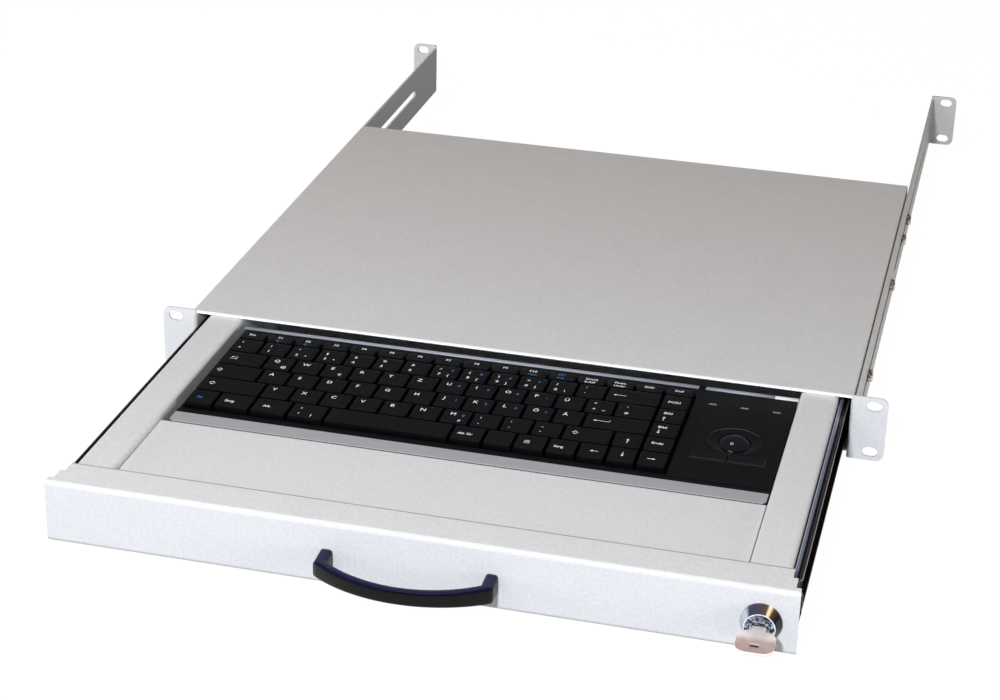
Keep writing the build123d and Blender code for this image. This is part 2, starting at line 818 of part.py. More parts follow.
def lock_housing():
    """Chrome bezel and threaded barrel with the bore for the plug."""
    bore = plug_radius + run_gap
    points = [(bore, -barrel_depth), (barrel_radius, -barrel_depth), (barrel_radius, 0), (bezel_radius, 0),
              (bezel_radius, bezel_rim), (bezel_tip_radius, bezel_depth), (bore, bezel_depth)]
    return turned(points)


def lock_nut():
    """Hexagon nut that clamps the lock behind the panel."""
    ring = RegularPolygon(nut_across / 2, 6, major_radius=False) - Circle(barrel_radius + thread_gap)
    return along_y(Pos(lock_x, lock_height) * ring, panel_back, panel_back + nut_depth)


def lock_plug():
    """Plug with its keyway and the flattened shank that carries the cam."""
    back = panel_front - cam_nut_back
    points = [(0, -barrel_depth), (plug_radius, -barrel_depth), (plug_radius, bezel_depth - plug_recess),
              (0, bezel_depth - plug_recess)]
    plug = turned(points)
    flats = Circle(shank_radius) & Rectangle(2 * shank_radius, 2 * shank_flat)
    plug += lock_place() * extrude(Pos(0, 0, -barrel_depth) * flats, amount=barrel_depth + back)
    slot = Rectangle(keyway_width, keyway_height)
    slot_start = bezel_depth - keyway_depth
    return plug - lock_place() * extrude(Pos(0, 0, slot_start) * slot, amount=keyway_depth + overrun)


def lock_cam():
    """Cam plate, pointing sideways while the lock is open."""
    tip = cam_reach - cam_half_width
    outline = Circle(cam_half_width) + Pos(tip / 2, 0) * Rectangle(tip, 2 * cam_half_width)
    outline += Pos(tip, 0) * Circle(cam_half_width)
    return along_y(Pos(lock_x, lock_height) * (outline - shank_eye()), cam_front, cam_back)


def shank_eye():
    """Flattened hole that fits the plug's shank."""
    radius = shank_radius + thread_gap
    return Circle(radius) & Rectangle(2 * radius, 2 * (shank_flat + thread_gap))


def cam_nut():
    """Nut on the plug's shank behind the cam."""
    ring = RegularPolygon(cam_nut_across / 2, 6, major_radius=False) - shank_eye()
    return along_y(Pos(lock_x, lock_height) * ring, cam_back, cam_nut_back)


def lock_key():
    """Flat key, its blade in the plug and its bow in front of the lock."""
    mouth = bezel_depth - plug_recess
    bow_start = mouth + key_neck
    bow = Pos(0, bow_start + key_bow_length / 2)
    bow *= RectangleRounded(key_bow_width, key_bow_length, key_bow_corner)
    blade_start = mouth - key_blade_length
    blade = Pos(0, (blade_start + bow_start + key_neck) / 2)
    blade *= Rectangle(key_blade_width, bow_start + key_neck - blade_start)
    outline = bow + blade
    hole_y = bow_start + key_bow_length - key_hole_inset
    outline -= Pos(0, hole_y) * RectangleRounded(key_hole_width, key_hole_length, key_hole_corner)
    step = key_blade_length / (key_notch_count + 1)
    for index in range(key_notch_count):
        for sign in (-1, 1):
            at = Pos(sign * key_blade_width / 2, blade_start + step * (index + 1))
            outline -= at * Rot(0, 0, key_notch_angle) * Rectangle(key_notch, key_notch)
    flat = extrude(outline, amount=key_sheet / 2, both=True)
    laid = Plane(origin=(lock_x, panel_front, lock_height), x_dir=(1, 0, 0), z_dir=(0, 0, -1))
    return laid * flat


def lock_strike():
    """Angle on the case floor that the cam turns down behind."""
    closed_travel = -panel_back - run_gap
    face = cam_front + closed_travel - strike_gap
    line = [(face - strike_sheet / 2, strike_top), (face - strike_sheet / 2, floor_top + strike_sheet / 2),
            (face + strike_foot, floor_top + strike_sheet / 2)]
    return along_x(folded(line, strike_sheet, strike_sheet), lock_x - strike_half_width,
                   lock_x + strike_half_width)


def row_depths():
    """Depth of each key row, from front to back."""
    return [key_row_depth] * (len(key_row_shares) - 1) + [function_row_depth]


def key_places():
    """Node, X limits and Y limits of every key, worked out from the rows."""
    places = []
    front = key_field_front
    for row, depth in zip(key_row_shares, row_depths()):
        total = sum(share for node, share in row)
        left = key_field_left
        for node, share in row:
            right = left + (key_field_right - key_field_left) * share / total
            places.append((node, (left, right), (front, front + depth)))
            left = right
        front += depth
    return places


def stem_xs(x):
    """Places of the stems under one key: one, or three under a wide key."""
    middle = (x[0] + x[1]) / 2
    if x[1] - x[0] < wide_key_share * key_row_depth:
        return [middle]
    reach = (x[1] - x[0]) / 2 - key_row_depth / 2
    return [middle - reach, middle, middle + reach]


def key_cap(x, y):
    """Hollow key cap with sloping sides, and its stems through the key plate."""
    bottom = key_top - key_height
    low_x = (x[0] + key_gap, x[1] - key_gap)
    low_y = (y[0] + key_gap, y[1] - key_gap)
    high_x = (low_x[0] + key_side_slope, low_x[1] - key_side_slope)
    high_y = (low_y[0] + key_front_slope, low_y[1] - key_back_slope)
    cap = tapered(low_x, low_y, high_x, high_y, bottom, key_top)
    inside_x = (low_x[0] + key_wall, low_x[1] - key_wall)
    inside_y = (low_y[0] + key_wall, low_y[1] - key_wall)
    ceiling_x = (high_x[0] + key_wall, high_x[1] - key_wall)
    ceiling_y = (high_y[0] + key_wall, high_y[1] - key_wall)
    cap -= tapered(inside_x, inside_y, ceiling_x, ceiling_y, bottom, key_top - key_wall)
    middle_y = (y[0] + y[1]) / 2
    for middle in stem_xs(x):
        cap += block((middle - stem_width / 2, middle + stem_width / 2),
                     (middle_y - stem_depth / 2, middle_y + stem_depth / 2),
                     (plate_bottom - stem_length + key_travel, key_top - key_wall / 2))
    return cap


def tapered(low_x, low_y, high_x, high_y, bottom, top):
    """Block whose top is smaller than its foot, from the limits of both."""
    low = Pos(sum(low_x) / 2, sum(low_y) / 2, bottom)
    low *= Rectangle(low_x[1] - low_x[0], low_y[1] - low_y[0])
    high = Pos(sum(high_x) / 2, sum(high_y) / 2, top)
    high *= Rectangle(high_x[1] - high_x[0], high_y[1] - high_y[0])
    return loft([low.face(), high.face()], ruled=True)


def stem_holes(bottom, top, margin):
    """Blocks that cut the stem holes of every key out of a plate."""
    holes = []
    for node, x, y in key_places():
        middle_y = (y[0] + y[1]) / 2
        for middle in stem_xs(x):
            holes.append(block((middle - stem_width / 2 - margin, middle + stem_width / 2 + margin),
                               (middle_y - stem_depth / 2 - margin, middle_y + stem_depth / 2 + margin),
                               (bottom - overrun, top + overrun)))
    return holes


def board_limits(inset):
    """X and Y limits inside the keyboard's key compartment."""
    return ((shell_inner_left + inset, partition_left - inset),
            (board_front + board_wall + inset, board_back - board_wall - inset))


def key_plate():
    """Guide plate under the keys with a hole for every stem."""
    x, y = board_limits(thread_gap)
    return block(x, y, (plate_bottom, plate_top)) - stem_holes(plate_bottom, plate_top, stem_gap)


def post_places():
    """Places of the posts that carry the circuit board and the key plate."""
    x, y = board_limits(post_inset)
    return [(x[0] + share * (x[1] - x[0]), place) for share in post_x_share for place in y]


def post_holes():
    """Holes for the tips of the posts, through the circuit board and the dome sheet."""
    radius = post_tip_radius + thread_gap
    return [along_z(disc(*place, radius), circuit_top - overrun, circuit_top + overrun)
            for place in post_places()]


def circuit_board():
    """Switch circuit board under the key domes."""
    x, y = board_limits(2 * run_gap)
    board = block(x, y, (circuit_top - circuit_sheet, circuit_top))
    return board - post_holes()


def dome_sheet():
    """Rubber sheet with one low dome under each key, drawn in its pressed height."""
    x, y = board_limits(2 * run_gap)
    top = circuit_top + dome_sheet_thickness
    sheet = block(x, y, (circuit_top, top))
    sheet -= post_holes()
    domes = []
    for node, x, y in key_places():
        at_x = (x[0] + x[1]) / 2
        at_y = (y[0] + y[1]) / 2
        foot = dome_width / 2
        tip = foot - dome_shrink
        domes.append(tapered((at_x - foot, at_x + foot), (at_y - foot, at_y + foot),
                             (at_x - tip, at_x + tip), (at_y - tip, at_y + tip), top, top + dome_height))
    return sheet + domes


def keyboard_base():
    """Lower shell of the keyboard: an open tub with a partition and its posts."""
    x = (board_left, board_right)
    y = (board_front, board_back)
    outline = Pos(sum(x) / 2, sum(y) / 2) * RectangleRounded(x[1] - x[0], y[1] - y[0], board_corner)
    tub = along_z(outline, tray_floor_top, shell_bottom)
    tub = fillet(tub.edges().group_by(Axis.Z)[0], board_foot_round)
    tub -= block((x[0] + board_wall, x[1] - board_wall), (y[0] + board_wall, y[1] - board_wall),
                 (base_floor_top, shell_bottom + overrun))
    tub += block((partition_left, partition_left + board_wall), (y[0] + board_wall, y[1] - board_wall),
                 (base_floor_top, shell_bottom))
    for place in post_places():
        tub += along_z(disc(*place, post_radius), base_floor_top, circuit_top - circuit_sheet)
        tub += along_z(disc(*place, post_tip_radius), base_floor_top, plate_bottom)
    return tub


def keyboard_top():
    """Upper shell: a frame round the keys and round the trackball section."""
    x = (board_left, board_right)
    y = (board_front, board_back)
    outline = Pos(sum(x) / 2, sum(y) / 2) * RectangleRounded(x[1] - x[0], y[1] - y[0], board_corner)
    frame = along_z(outline, shell_bottom, shell_top)
    keys_back = key_field_front + sum(row_depths())
    through = (shell_bottom - overrun, shell_top + overrun)
    frame -= block((key_field_left - key_gap / 2, key_field_right + key_gap),
                   (key_field_front - key_gap, keys_back + key_gap), through)
    frame -= block((section_left + section_ledge, board_right - section_ledge),
                   (section_front + section_ledge, section_back - section_ledge), through)
    return frame


def front_trim():
    """Silver strip in front of the keys, with an apron down the front."""
    height = shell_top + trim_sheet / 2
    apron_y = board_front - trim_sheet
    line = [(section_front, height), (apron_y, height), (apron_y, height - trim_apron)]
    trim = along_x(folded(line, trim_sheet, trim_sheet), board_left, board_right)
    depth = board_back - board_front + 2 * trim_sheet
    middle = Pos((board_left + board_right) / 2, (board_front + board_back) / 2 - trim_sheet / 2)
    outline = middle * RectangleRounded(board_right - board_left, depth, board_corner)
    return trim & along_z(outline, shell_bottom - trim_apron, shell_top + overrun)


def rear_trim_left():
    """Silver strip behind the keys, with a slanted right end."""
    left = board_left - rear_trim_overhang
    split = section_left - rear_trim_split_gap
    front = rear_trim_back - rear_trim_depth
    outline = Polygon((left, front), (split - rear_trim_slant, front), (split, rear_trim_back),
                      (left, rear_trim_back), align=None)
    return along_z(outline, shell_top, shell_top + trim_sheet)


def rear_trim_right():
    """Silver strip behind the trackball section."""
    return block((section_left + side_trim_start_gap, board_right + side_trim_overhang),
                 (rear_trim_back - side_trim_depth, rear_trim_back), (shell_top, shell_top + trim_sheet))


def button_limits():
    """X limits of the two mouse buttons."""
    return [(pad_left + button_side_gap, button_left_end), (button_right_start, pad_right - button_right_gap)]


def led_xs():
    """Places of the three indicator windows."""
    middle = ball_x - led_shift
    return [middle - led_pitch, middle, middle + led_pitch]


def trackball_plate():
    """Plate of the trackball section with its raised pad, openings and windows."""
    plate = block((section_left, board_right), (section_front, section_back), (shell_top, section_top))
    pad = block((pad_left, pad_right), (pad_front, pad_back), (section_top, pad_top))
    plate += chamfer(pad.edges().group_by(Axis.Z)[-1], pad_height * recess_share)
    hole = disc(ball_x, ball_y, ring_radius + thread_gap)
    plate -= along_z(hole, shell_top - overrun, pad_top + overrun)
    left_button, right_button = button_limits()
    plate -= block((left_button[0] - thread_gap, right_button[1] + thread_gap),
                   (button_front - thread_gap, button_back + thread_gap),
                   (shell_top - overrun, pad_top + overrun))
    return plate - led_blocks(shell_top - overrun, section_top + overrun)


def led_blocks(bottom, top):
    """One block at each indicator lamp."""
    y = (led_y - led_width / 2, led_y + led_width / 2)
    return [block((x - led_length / 2, x + led_length / 2), y, (bottom, top)) for x in led_xs()]


def led_windows():
    """Three clear windows over the indicator lamps."""
    return led_blocks(shell_top, section_top + led_rise)


def mouse_button(x):
    """Button cap with the skirt that holds it under the plate, and its plunger."""
    y = (button_front, button_back)
    cap = block(x, y, (shell_top - run_gap, button_top))
    cap = chamfer(cap.edges().group_by(Axis.Z)[-1], button_corner)
    skirt_x = (x[0] - button_skirt, x[1]) if x[0] < ball_x - button_skirt * 2 else (x[0], x[1] + button_skirt)
    skirt_y = (y[0] - button_skirt, y[1] + button_skirt)
    skirt_top = shell_top - run_gap
    cap += block(skirt_x, skirt_y, (skirt_top - button_skirt_sheet, skirt_top))
    middle = (sum(x) / 2, sum(y) / 2)
    bottom = skirt_top - button_skirt_sheet - button_stem_length
    cap += along_z(disc(*middle, stem_width / 2), bottom, skirt_top)
    flange = disc(ball_x, ball_y, ring_radius + ring_flange + run_gap)
    cap -= along_z(flange, bottom, shell_top + button_travel + thread_gap)
    return cap - along_z(disc(ball_x, ball_y, ring_radius + run_gap), bottom, button_top + overrun)


def ball_turned(points):
    """Piece turned about the trackball's upright axis, from radius and height."""
    return Pos(ball_x, ball_y, 0) * revolve(Plane.XZ * make_face(Polyline(*points, close=True)), Axis.Z)


def ball_space():
    """Sphere that the trackball needs to turn in."""
    return Pos(ball_x, ball_y, ball_height) * Sphere(socket_radius)


def retaining_ring():
    """Dished ring that holds the trackball down."""
    flange_bottom = shell_top - ring_flange_sheet
    points = [(ring_inner_radius, flange_bottom), (ring_radius + ring_flange, flange_bottom),
              (ring_radius + ring_flange, shell_top), (ring_radius, shell_top),
              (ring_radius, ring_top), (ring_inner_radius, ring_inner_top)]
    return ball_turned(points) - ball_space()


def ball_housing():
    """Cup under the trackball, with bearings and windows for the two rollers."""
    outer = socket_radius + cup_wall
    top = shell_top - ring_flange_sheet
    points = [(0, base_floor_top), (outer, base_floor_top), (outer, top), (0, top)]
    cup = ball_turned(points) - ball_space()
    cup -= Pos(ball_x, ball_y, 0) * along_z(Circle(socket_radius), ball_height, top + overrun)
    bearings = []
    windows = []
    for x, y, along in roller_places():
        for sign in (-1, 1):
            shift = sign * bearing_place
            at_x = x + shift * along[0]
            at_y = y + shift * along[1]
            half_x = bearing_sheet / 2 if along[0] else bearing_half_width
            half_y = bearing_sheet / 2 if along[1] else bearing_half_width
            bearings.append(block((at_x - half_x, at_x + half_x), (at_y - half_y, at_y + half_y),
                                  (base_floor_top, ball_height + bearing_half_width)))
        half_x = window_half_width if along[0] else bearing_half_width + cup_wall
        half_y = window_half_width if along[1] else bearing_half_width + cup_wall
        windows.append(block((x - half_x, x + half_x), (y - half_y, y + half_y),
                             (ball_height - window_half_height, ball_height + window_half_height)))
    cup = cup - windows + bearings
    for x, y, along in roller_places():
        cup -= roller_rod(x, y, along, roller_radius + run_gap, roller_half_length + overrun)
    return cup - wheel_spaces()


def wheel_spaces():
    """Room in the cup and its bearings for the two encoder wheels."""
    spaces = []
    for x, y, along in roller_places():
        spaces.append(wheel(x, y, along, wheel_radius + run_gap, wheel_sheet + 2 * run_gap))
    return spaces


def roller_places():
    """Middle of each roller and the direction of its shaft."""
    reach = trackball_radius + run_gap + roller_radius
    return [(ball_x, ball_y + reach, (-1, 0)), (ball_x + reach, ball_y, (0, -1))]


def roller_rod(x, y, along, radius, half_length):
    """Level rod along one of the two directions."""
    if along[0]:
        return along_x(disc(y, ball_height, radius), x - half_length, x + half_length)
    return along_y(disc(x, ball_height, radius), y - half_length, y + half_length)


def wheel(x, y, along, radius, thickness):
    """Disc near the end of a roller's shaft."""
    place = roller_half_length - wheel_sheet / 2
    return roller_rod(x + along[0] * place, y + along[1] * place, along, radius, thickness / 2)


def rollers():
    """Pitch roller and roll roller, each with its encoder wheel."""
    return [roller_rod(x, y, along, roller_radius, roller_half_length)
            + wheel(x, y, along, wheel_radius, wheel_sheet) for x, y, along in roller_places()]


def trackball():
    """Polished ball."""
    return Pos(ball_x, ball_y, ball_height) * Sphere(trackball_radius)


def key_nodes():
    """Key caps gathered by node."""
    nodes = {}
    for node, x, y in key_places():
        nodes.setdefault(node, []).append(key_cap(x, y))
    return nodes


def assembly():
    """Every node and its solids."""
    plate = side_plate()
    rail = rear_rail()
    outer = slide_outer()
    inner = slide_inner()
    cage = ball_cage()
    balls = slide_balls()
    pitch_roller, roll_roller = rollers()
    left_button, right_button = [mouse_button(x) for x in button_limits()]
    nodes = {
        "right_side_plate": [plate], "left_side_plate": [mirrored(plate)],
        "top_cover": [top_cover()], "case_floor": [case_floor()],
        "cover_screws": cover_screws(), "rail_screws": rail_screws(1) + rail_screws(-1),
        "right_rear_rail": [rail], "left_rear_rail": [mirrored(rail)],
        "right_slide_outer": [outer], "left_slide_outer": [mirrored(outer)],
        "right_slide_inner": [inner], "left_slide_inner": [mirrored(inner)],
        "right_ball_cage": [cage], "left_ball_cage": [mirrored(cage)],
        "right_balls": balls, "left_balls": [mirrored(ball) for ball in balls],
        "lock_strike": [lock_strike()], "drawer_tray": [drawer_tray()],
        "front_panel": [front_panel()], "palm_rest": [palm_rest()],
        "slide_screws": slide_screws(), "handle": [handle()], "handle_screws": handle_screws(),
        "lock_housing": [lock_housing()], "lock_nut": [lock_nut()], "lock_plug": [lock_plug()],
        "lock_cam": [lock_cam()], "cam_nut": [cam_nut()], "lock_key": [lock_key()],
        "keyboard_base": [keyboard_base()], "keyboard_top": [keyboard_top()],
        "key_plate": [key_plate()], "circuit_board": [circuit_board()], "dome_sheet": [dome_sheet()],
        "front_trim": [front_trim()], "rear_trim_left": [rear_trim_left()],
        "rear_trim_right": [rear_trim_right()], "trackball_plate": [trackball_plate()],
        "led_windows": led_windows(), "retaining_ring": [retaining_ring()],
        "ball_housing": [ball_housing()], "trackball": [trackball()],
        "pitch_roller": [pitch_roller], "roll_roller": [roll_roller],
        "mouse_button_left": [left_button], "mouse_button_right": [right_button],
    }
    return nodes | key_nodes()


os.makedirs("parts", exist_ok=True)
for name, solids in assembly().items():
    write(name, solids)
    print(name, len(solids))
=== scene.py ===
# %% [markdown]
# Rack keyboard drawer
#
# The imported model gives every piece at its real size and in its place. This lesson dresses it:
# powder-coated sheet steel, zinc slides, chrome lock, moulded keys with printed legends. The frame is
# loaded first, and its box is kept, because the dressed model may not be larger than it.

# %% Load the frame
import json
from math import cos, pi, radians, sin

import bmesh
import bpy
import numpy as np
from mathutils import Matrix, Vector


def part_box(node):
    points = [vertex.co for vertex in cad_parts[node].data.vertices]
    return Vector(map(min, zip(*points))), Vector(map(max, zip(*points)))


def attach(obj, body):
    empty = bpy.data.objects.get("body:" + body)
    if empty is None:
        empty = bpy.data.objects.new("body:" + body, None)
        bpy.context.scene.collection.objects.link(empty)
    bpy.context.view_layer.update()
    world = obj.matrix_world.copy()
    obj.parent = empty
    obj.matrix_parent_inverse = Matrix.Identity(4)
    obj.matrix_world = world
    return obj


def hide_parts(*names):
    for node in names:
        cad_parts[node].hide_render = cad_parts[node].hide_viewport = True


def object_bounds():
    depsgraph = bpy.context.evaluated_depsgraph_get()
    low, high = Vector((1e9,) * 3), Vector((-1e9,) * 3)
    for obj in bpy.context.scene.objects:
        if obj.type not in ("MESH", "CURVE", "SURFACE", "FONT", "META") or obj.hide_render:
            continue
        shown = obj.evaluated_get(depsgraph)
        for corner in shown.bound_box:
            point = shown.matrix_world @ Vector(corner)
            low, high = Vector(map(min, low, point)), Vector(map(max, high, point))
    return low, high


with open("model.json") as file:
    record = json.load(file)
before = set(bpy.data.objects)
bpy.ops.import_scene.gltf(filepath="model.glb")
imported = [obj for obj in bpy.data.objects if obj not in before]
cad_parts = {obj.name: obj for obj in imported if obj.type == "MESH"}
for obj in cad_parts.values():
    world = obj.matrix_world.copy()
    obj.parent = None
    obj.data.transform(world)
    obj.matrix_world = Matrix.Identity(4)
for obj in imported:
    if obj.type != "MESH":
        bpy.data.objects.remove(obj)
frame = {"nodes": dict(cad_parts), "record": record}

cad_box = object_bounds()
MM = 0.001
body_of = {node: body for body, nodes in frame["record"]["behaviour"]["bodies"].items() for node in nodes}
print("CAD box", cad_box)

# %% [markdown]
# Materials
#
# A colour is written as the hex value that a paint card or a colour picker gives. Shaders count in linear
# light, so one function turns it. A material is a small graph of nodes, and one helper adds a node with its
# settings and its links. Patterns read Object coordinates: a piece never moves from the origin, so a
# pattern stays on it and its scale is a real size.

# %% Colour and node helpers
def linear(code, alpha=1.0):
    """Each channel of the hex value: divided by 255, then ((c + 0.055) / 1.055) to the power 2.4."""
    values = [int(code[i:i + 2], 16) / 255 for i in (1, 3, 5)]
    return [v / 12.92 if v < 0.04045 else ((v + 0.055) / 1.055) ** 2.4 for v in values] + [alpha]


def add(tree, kind, inputs=(), stops=(), **settings):
    """Add one node: settings are its properties, inputs are pairs of a socket and a value or a link.
    A ramp also takes stops: places between 0 and 1, each with the hex value there."""
    made = tree.nodes.new(kind)
    for name, value in settings.items():
        setattr(made, name, value)
    for socket, value in dict(inputs).items():
        if isinstance(value, bpy.types.NodeSocket):
            tree.links.new(value, made.inputs[socket])
        else:
            made.inputs[socket].default_value = value
    if stops:
        points = made.color_ramp.elements
        while len(points) < len(stops):
            points.new(0.5)
        for point, (place, code) in zip(points, stops):
            point.position = place
            point.color = linear(code)
    return made


def per_mm(size):
    """Scale of a pattern whose cells are this many millimetres wide."""
    return 1 / (size * MM)


def start(name, code, roughness, metallic=0.0, **sockets):
    """New material with a Principled shader: colour, roughness and metallic from the real finish."""
    made = bpy.data.materials.new(name)
    made.use_nodes = True
    shader = made.node_tree.nodes["Principled BSDF"]
    shader.inputs["Base Color"].default_value = linear(code)
    shader.inputs["Roughness"].default_value = roughness
    shader.inputs["Metallic"].default_value = metallic
    for socket, value in sockets.items():
        shader.inputs[socket.replace("_", " ")].default_value = value
    return made, made.node_tree, shader


def object_pattern(tree, cell, stretch=(1, 1, 1), kind="ShaderNodeTexNoise"):
    """Strength of a pattern on Object coordinates, with cells of a size in millimetres."""
    place = add(tree, "ShaderNodeTexCoord").outputs["Object"]
    mapped = add(tree, "ShaderNodeMapping", {"Vector": place, "Scale": stretch}).outputs["Vector"]
    return add(tree, kind, {"Vector": mapped, "Scale": per_mm(cell)}).outputs["Fac"]


def vary(tree, shader, pattern, dark, light):
    """Colour that wanders between two hex values with a pattern."""
    mixed = add(tree, "ShaderNodeMix", {0: pattern, 6: linear(dark), 7: linear(light)}, data_type="RGBA")
    tree.links.new(mixed.outputs[2], shader.inputs["Base Color"])


def rough(tree, shader, pattern, low, high):
    """Roughness that wanders between two values with a pattern."""
    spread = add(tree, "ShaderNodeMapRange", {"Value": pattern, "To Min": low, "To Max": high})
    tree.links.new(spread.outputs[0], shader.inputs["Roughness"])


def bump(tree, shader, pattern, height, strength=1.0):
    """Relief of a height in millimetres."""
    relief = add(tree, "ShaderNodeBump", {"Height": pattern, "Distance": height * MM, "Strength": strength})
    tree.links.new(relief.outputs[0], shader.inputs["Normal"])


def plain(name, code, roughness, cell, gloss, metallic=0.0, **sockets):
    """Material of one colour, whose roughness wanders between two values."""
    made, tree, shader = start(name, code, roughness, metallic, **sockets)
    rough(tree, shader, object_pattern(tree, cell), *gloss)
    return made


# %% [markdown]
# Colour by direction and by place
#
# Some colours follow the shape of the piece, and most of these are painted light: a key's wall is painted
# darker than its top, as shade, a hem gets a painted highlight, and a seam gets a painted grey line of shade.
# A UV map or a second material on some faces could do this, but a CAD mesh has no UV map. So the shader asks
# which way a face looks, and where the point lies on the piece.

# %% Direction and edge helpers
def facing(tree, axis, walls=False):
    """One on faces that look along an axis and zero on faces across it, or the reverse for walls."""
    way = add(tree, "ShaderNodeTexCoord").outputs["Normal"]
    share = add(tree, "ShaderNodeSeparateXYZ", {"Vector": way}).outputs[axis]
    ends = {"From Min": 0.3, "From Max": 0.9, "To Min": float(walls), "To Max": float(not walls)}
    return add(tree, "ShaderNodeMapRange", {"Value": share, **ends}).outputs[0]


def over(tree, shader, share, code):
    """Lay a colour over the one that the shader has, where the share is one."""
    coat = shader.inputs["Base Color"].links[0].from_socket
    mixed = add(tree, "ShaderNodeMix", {0: share, 6: coat, 7: linear(code)}, data_type="RGBA")
    tree.links.new(mixed.outputs[2], shader.inputs["Base Color"])


def edge_band(tree, shader, axis, fade_from, fade_to, code):
    """Colour along one edge: it fades in between two places on an axis, both in millimetres."""
    place = add(tree, "ShaderNodeTexCoord").outputs["Object"]
    along = add(tree, "ShaderNodeSeparateXYZ", {"Vector": place}).outputs[axis]
    fade = {"Value": along, "From Min": fade_from * MM, "From Max": fade_to * MM}
    over(tree, shader, add(tree, "ShaderNodeMapRange", fade).outputs[0], code)


# %% [markdown]
# Powder coat
#
# The sheet steel is sprayed with polyester powder and baked. It flows into a fine orange peel: soft bumps
# about a millimetre wide, with a grain that scatters the light. A picture of the coat could be wrapped
# round each piece, but two noises on Object coordinates give the peel its size everywhere. It is drawn a
# little coarser than it is, because the real one would vanish between two pixels. All sheets share this
# coat. Some add painted light: a painted white highlight along the cover's hem, and painted shade as a
# grey line between the panel and the palm rest, and one along the palm rest's right side. The rear rails
# are darker than the lamps here make them, so shade is painted on them: the left one on its inner face,
# the right one all over.

# %% Powder coat
cloud_cell, peel_cell, peel_height = 30, 1.8, 0.05


def powder_coat(name, dark="#D1D1D0", light="#DDDDDC", band=None, shade=None):
    """Satin, with an orange peel that breaks every glint: tone = peel + 0.3 * clouds of thickness."""
    made, tree, shader = start(name, light, 0.45, IOR=1.5)
    clouds = object_pattern(tree, cloud_cell)
    peel = object_pattern(tree, peel_cell)
    ends = {"From Min": 0.35, "From Max": 0.65, "To Max": 0.7}
    peaks = add(tree, "ShaderNodeMapRange", {"Value": peel, **ends}).outputs[0]
    both = add(tree, "ShaderNodeMath", {0: clouds, 1: 0.3, 2: peaks}, operation="MULTIPLY_ADD")
    vary(tree, shader, both.outputs[0], dark, light)
    rough(tree, shader, peel, 0.36, 0.56)
    bump(tree, shader, peel, peel_height, 0.6)
    if band:
        edge_band(tree, shader, *band)
    if shade:
        axis, code = shade
        over(tree, shader, facing(tree, axis), code)
    return made


hem_highlight_fade, panel_seam_shade_fade, palm_edge_shade_fade = (3.4, 2.2), (-217.4, -216.9), (185.0, 185.5)
sheet_paint = powder_coat("pale_grey_powder_coat")
# Painted highlight: a white band along the cover's hem.
cover_paint = powder_coat("pale_grey_powder_coat_bright_hem", band=("Y", *hem_highlight_fade, "#FFFFFF"))
# Painted shade: a grey line along the panel's back edge, where the seam to the palm rest lies.
panel_paint = powder_coat("pale_grey_powder_coat_cut_edge", band=("Y", *panel_seam_shade_fade, "#8E8E8E"))
# Painted shade: a grey line along the palm rest's right side.
palm_paint = powder_coat("pale_grey_powder_coat_palm_edge", band=("X", *palm_edge_shade_fade, "#6E6E72"))
# Painted shade: the left rail's inner face and the whole right rail are darker than the coat.
left_rail_paint = powder_coat("pale_grey_powder_coat_left_rail", shade=("X", "#8E8C89"))
right_rail_paint = powder_coat("pale_grey_powder_coat_right_rail", "#C5C4C0", "#CFCECA")

# %% [markdown]
# Zinc
#
# Slides, cages and screws are zinc-plated steel: bright and slightly blue, with faint lines along the strip
# from rolling. A metal looks like what it mirrors, and in the photograph that is a dark room: the slides
# are nearly black with a pale stripe along the lip, and the screws glint brown and white. A dark room built
# round the scene would also darken the paint, so these reflections are painted on, by place or by noise.

# %% Zinc
def rolled_lines(tree, shader):
    """Fine lines along Y, 0.6 mm apart, coarser than real ones, that stretch every glint."""
    lines = object_pattern(tree, 0.6, stretch=(1, 0.02, 1))
    rough(tree, shader, lines, 0.12, 0.34)
    bump(tree, shader, lines, 0.01, 0.4)


# Plated steel: clouds of lighter and darker zinc under the lines.
zinc, tree, shader = start("zinc_plated_steel", "#9A9CA6", 0.2, 1.0)
rolled_lines(tree, shader)
vary(tree, shader, object_pattern(tree, 6), "#77777D", "#A9A9B4")

# Screw head: small and curved, with painted brown and white glints, picked from a ramp by a noise.
screw_glints = ((0.36, "#2E1E18"), (0.46, "#8C6A5A"), (0.52, "#F6ECE4"), (0.6, "#D8C4B8"), (0.68, "#5A4038"))
screws, tree, shader = start("zinc_plated_screw", "#C9C9C6", 0.24, 0.5)
grain = object_pattern(tree, 0.5)
rough(tree, shader, grain, 0.18, 0.34)
bump(tree, shader, grain, 0.01, 0.5)
glints = add(tree, "ShaderNodeValToRGB", {"Fac": object_pattern(tree, 2.2)}, screw_glints)
tree.links.new(glints.outputs[0], shader.inputs["Base Color"])

# %% [markdown]
# Slides
#
# The lip of a drawn-out slide carries a painted pale stripe, a reflection, and its rim a thin one. Both
# run along the slide, so a ramp across X paints them, and X without its sign does for both slides. The
# walls get dark streaks of painted reflection, and the dark base is painted reflection too.

# %% Slides
lip_inner, lip_outer = 209.5, 216.0
lip_reflection_stripes = ((0.0, "#17161C"), (0.12, "#1B1A22"), (0.18, "#C9CFE2"), (0.28, "#A9AFC8"), (0.31, "#4A4E66"),
               (0.34, "#B9BFD4"), (0.44, "#A3A9C4"), (0.5, "#171413"), (0.9, "#1C1817"), (0.94, "#8E8882"),
               (1.0, "#8E8882"))
wall_reflection_streaks = ((0.0, "#27211F"), (0.5, "#3E3734"), (0.56, "#968C84"), (0.62, "#302A27"), (1.0, "#2A2422"))
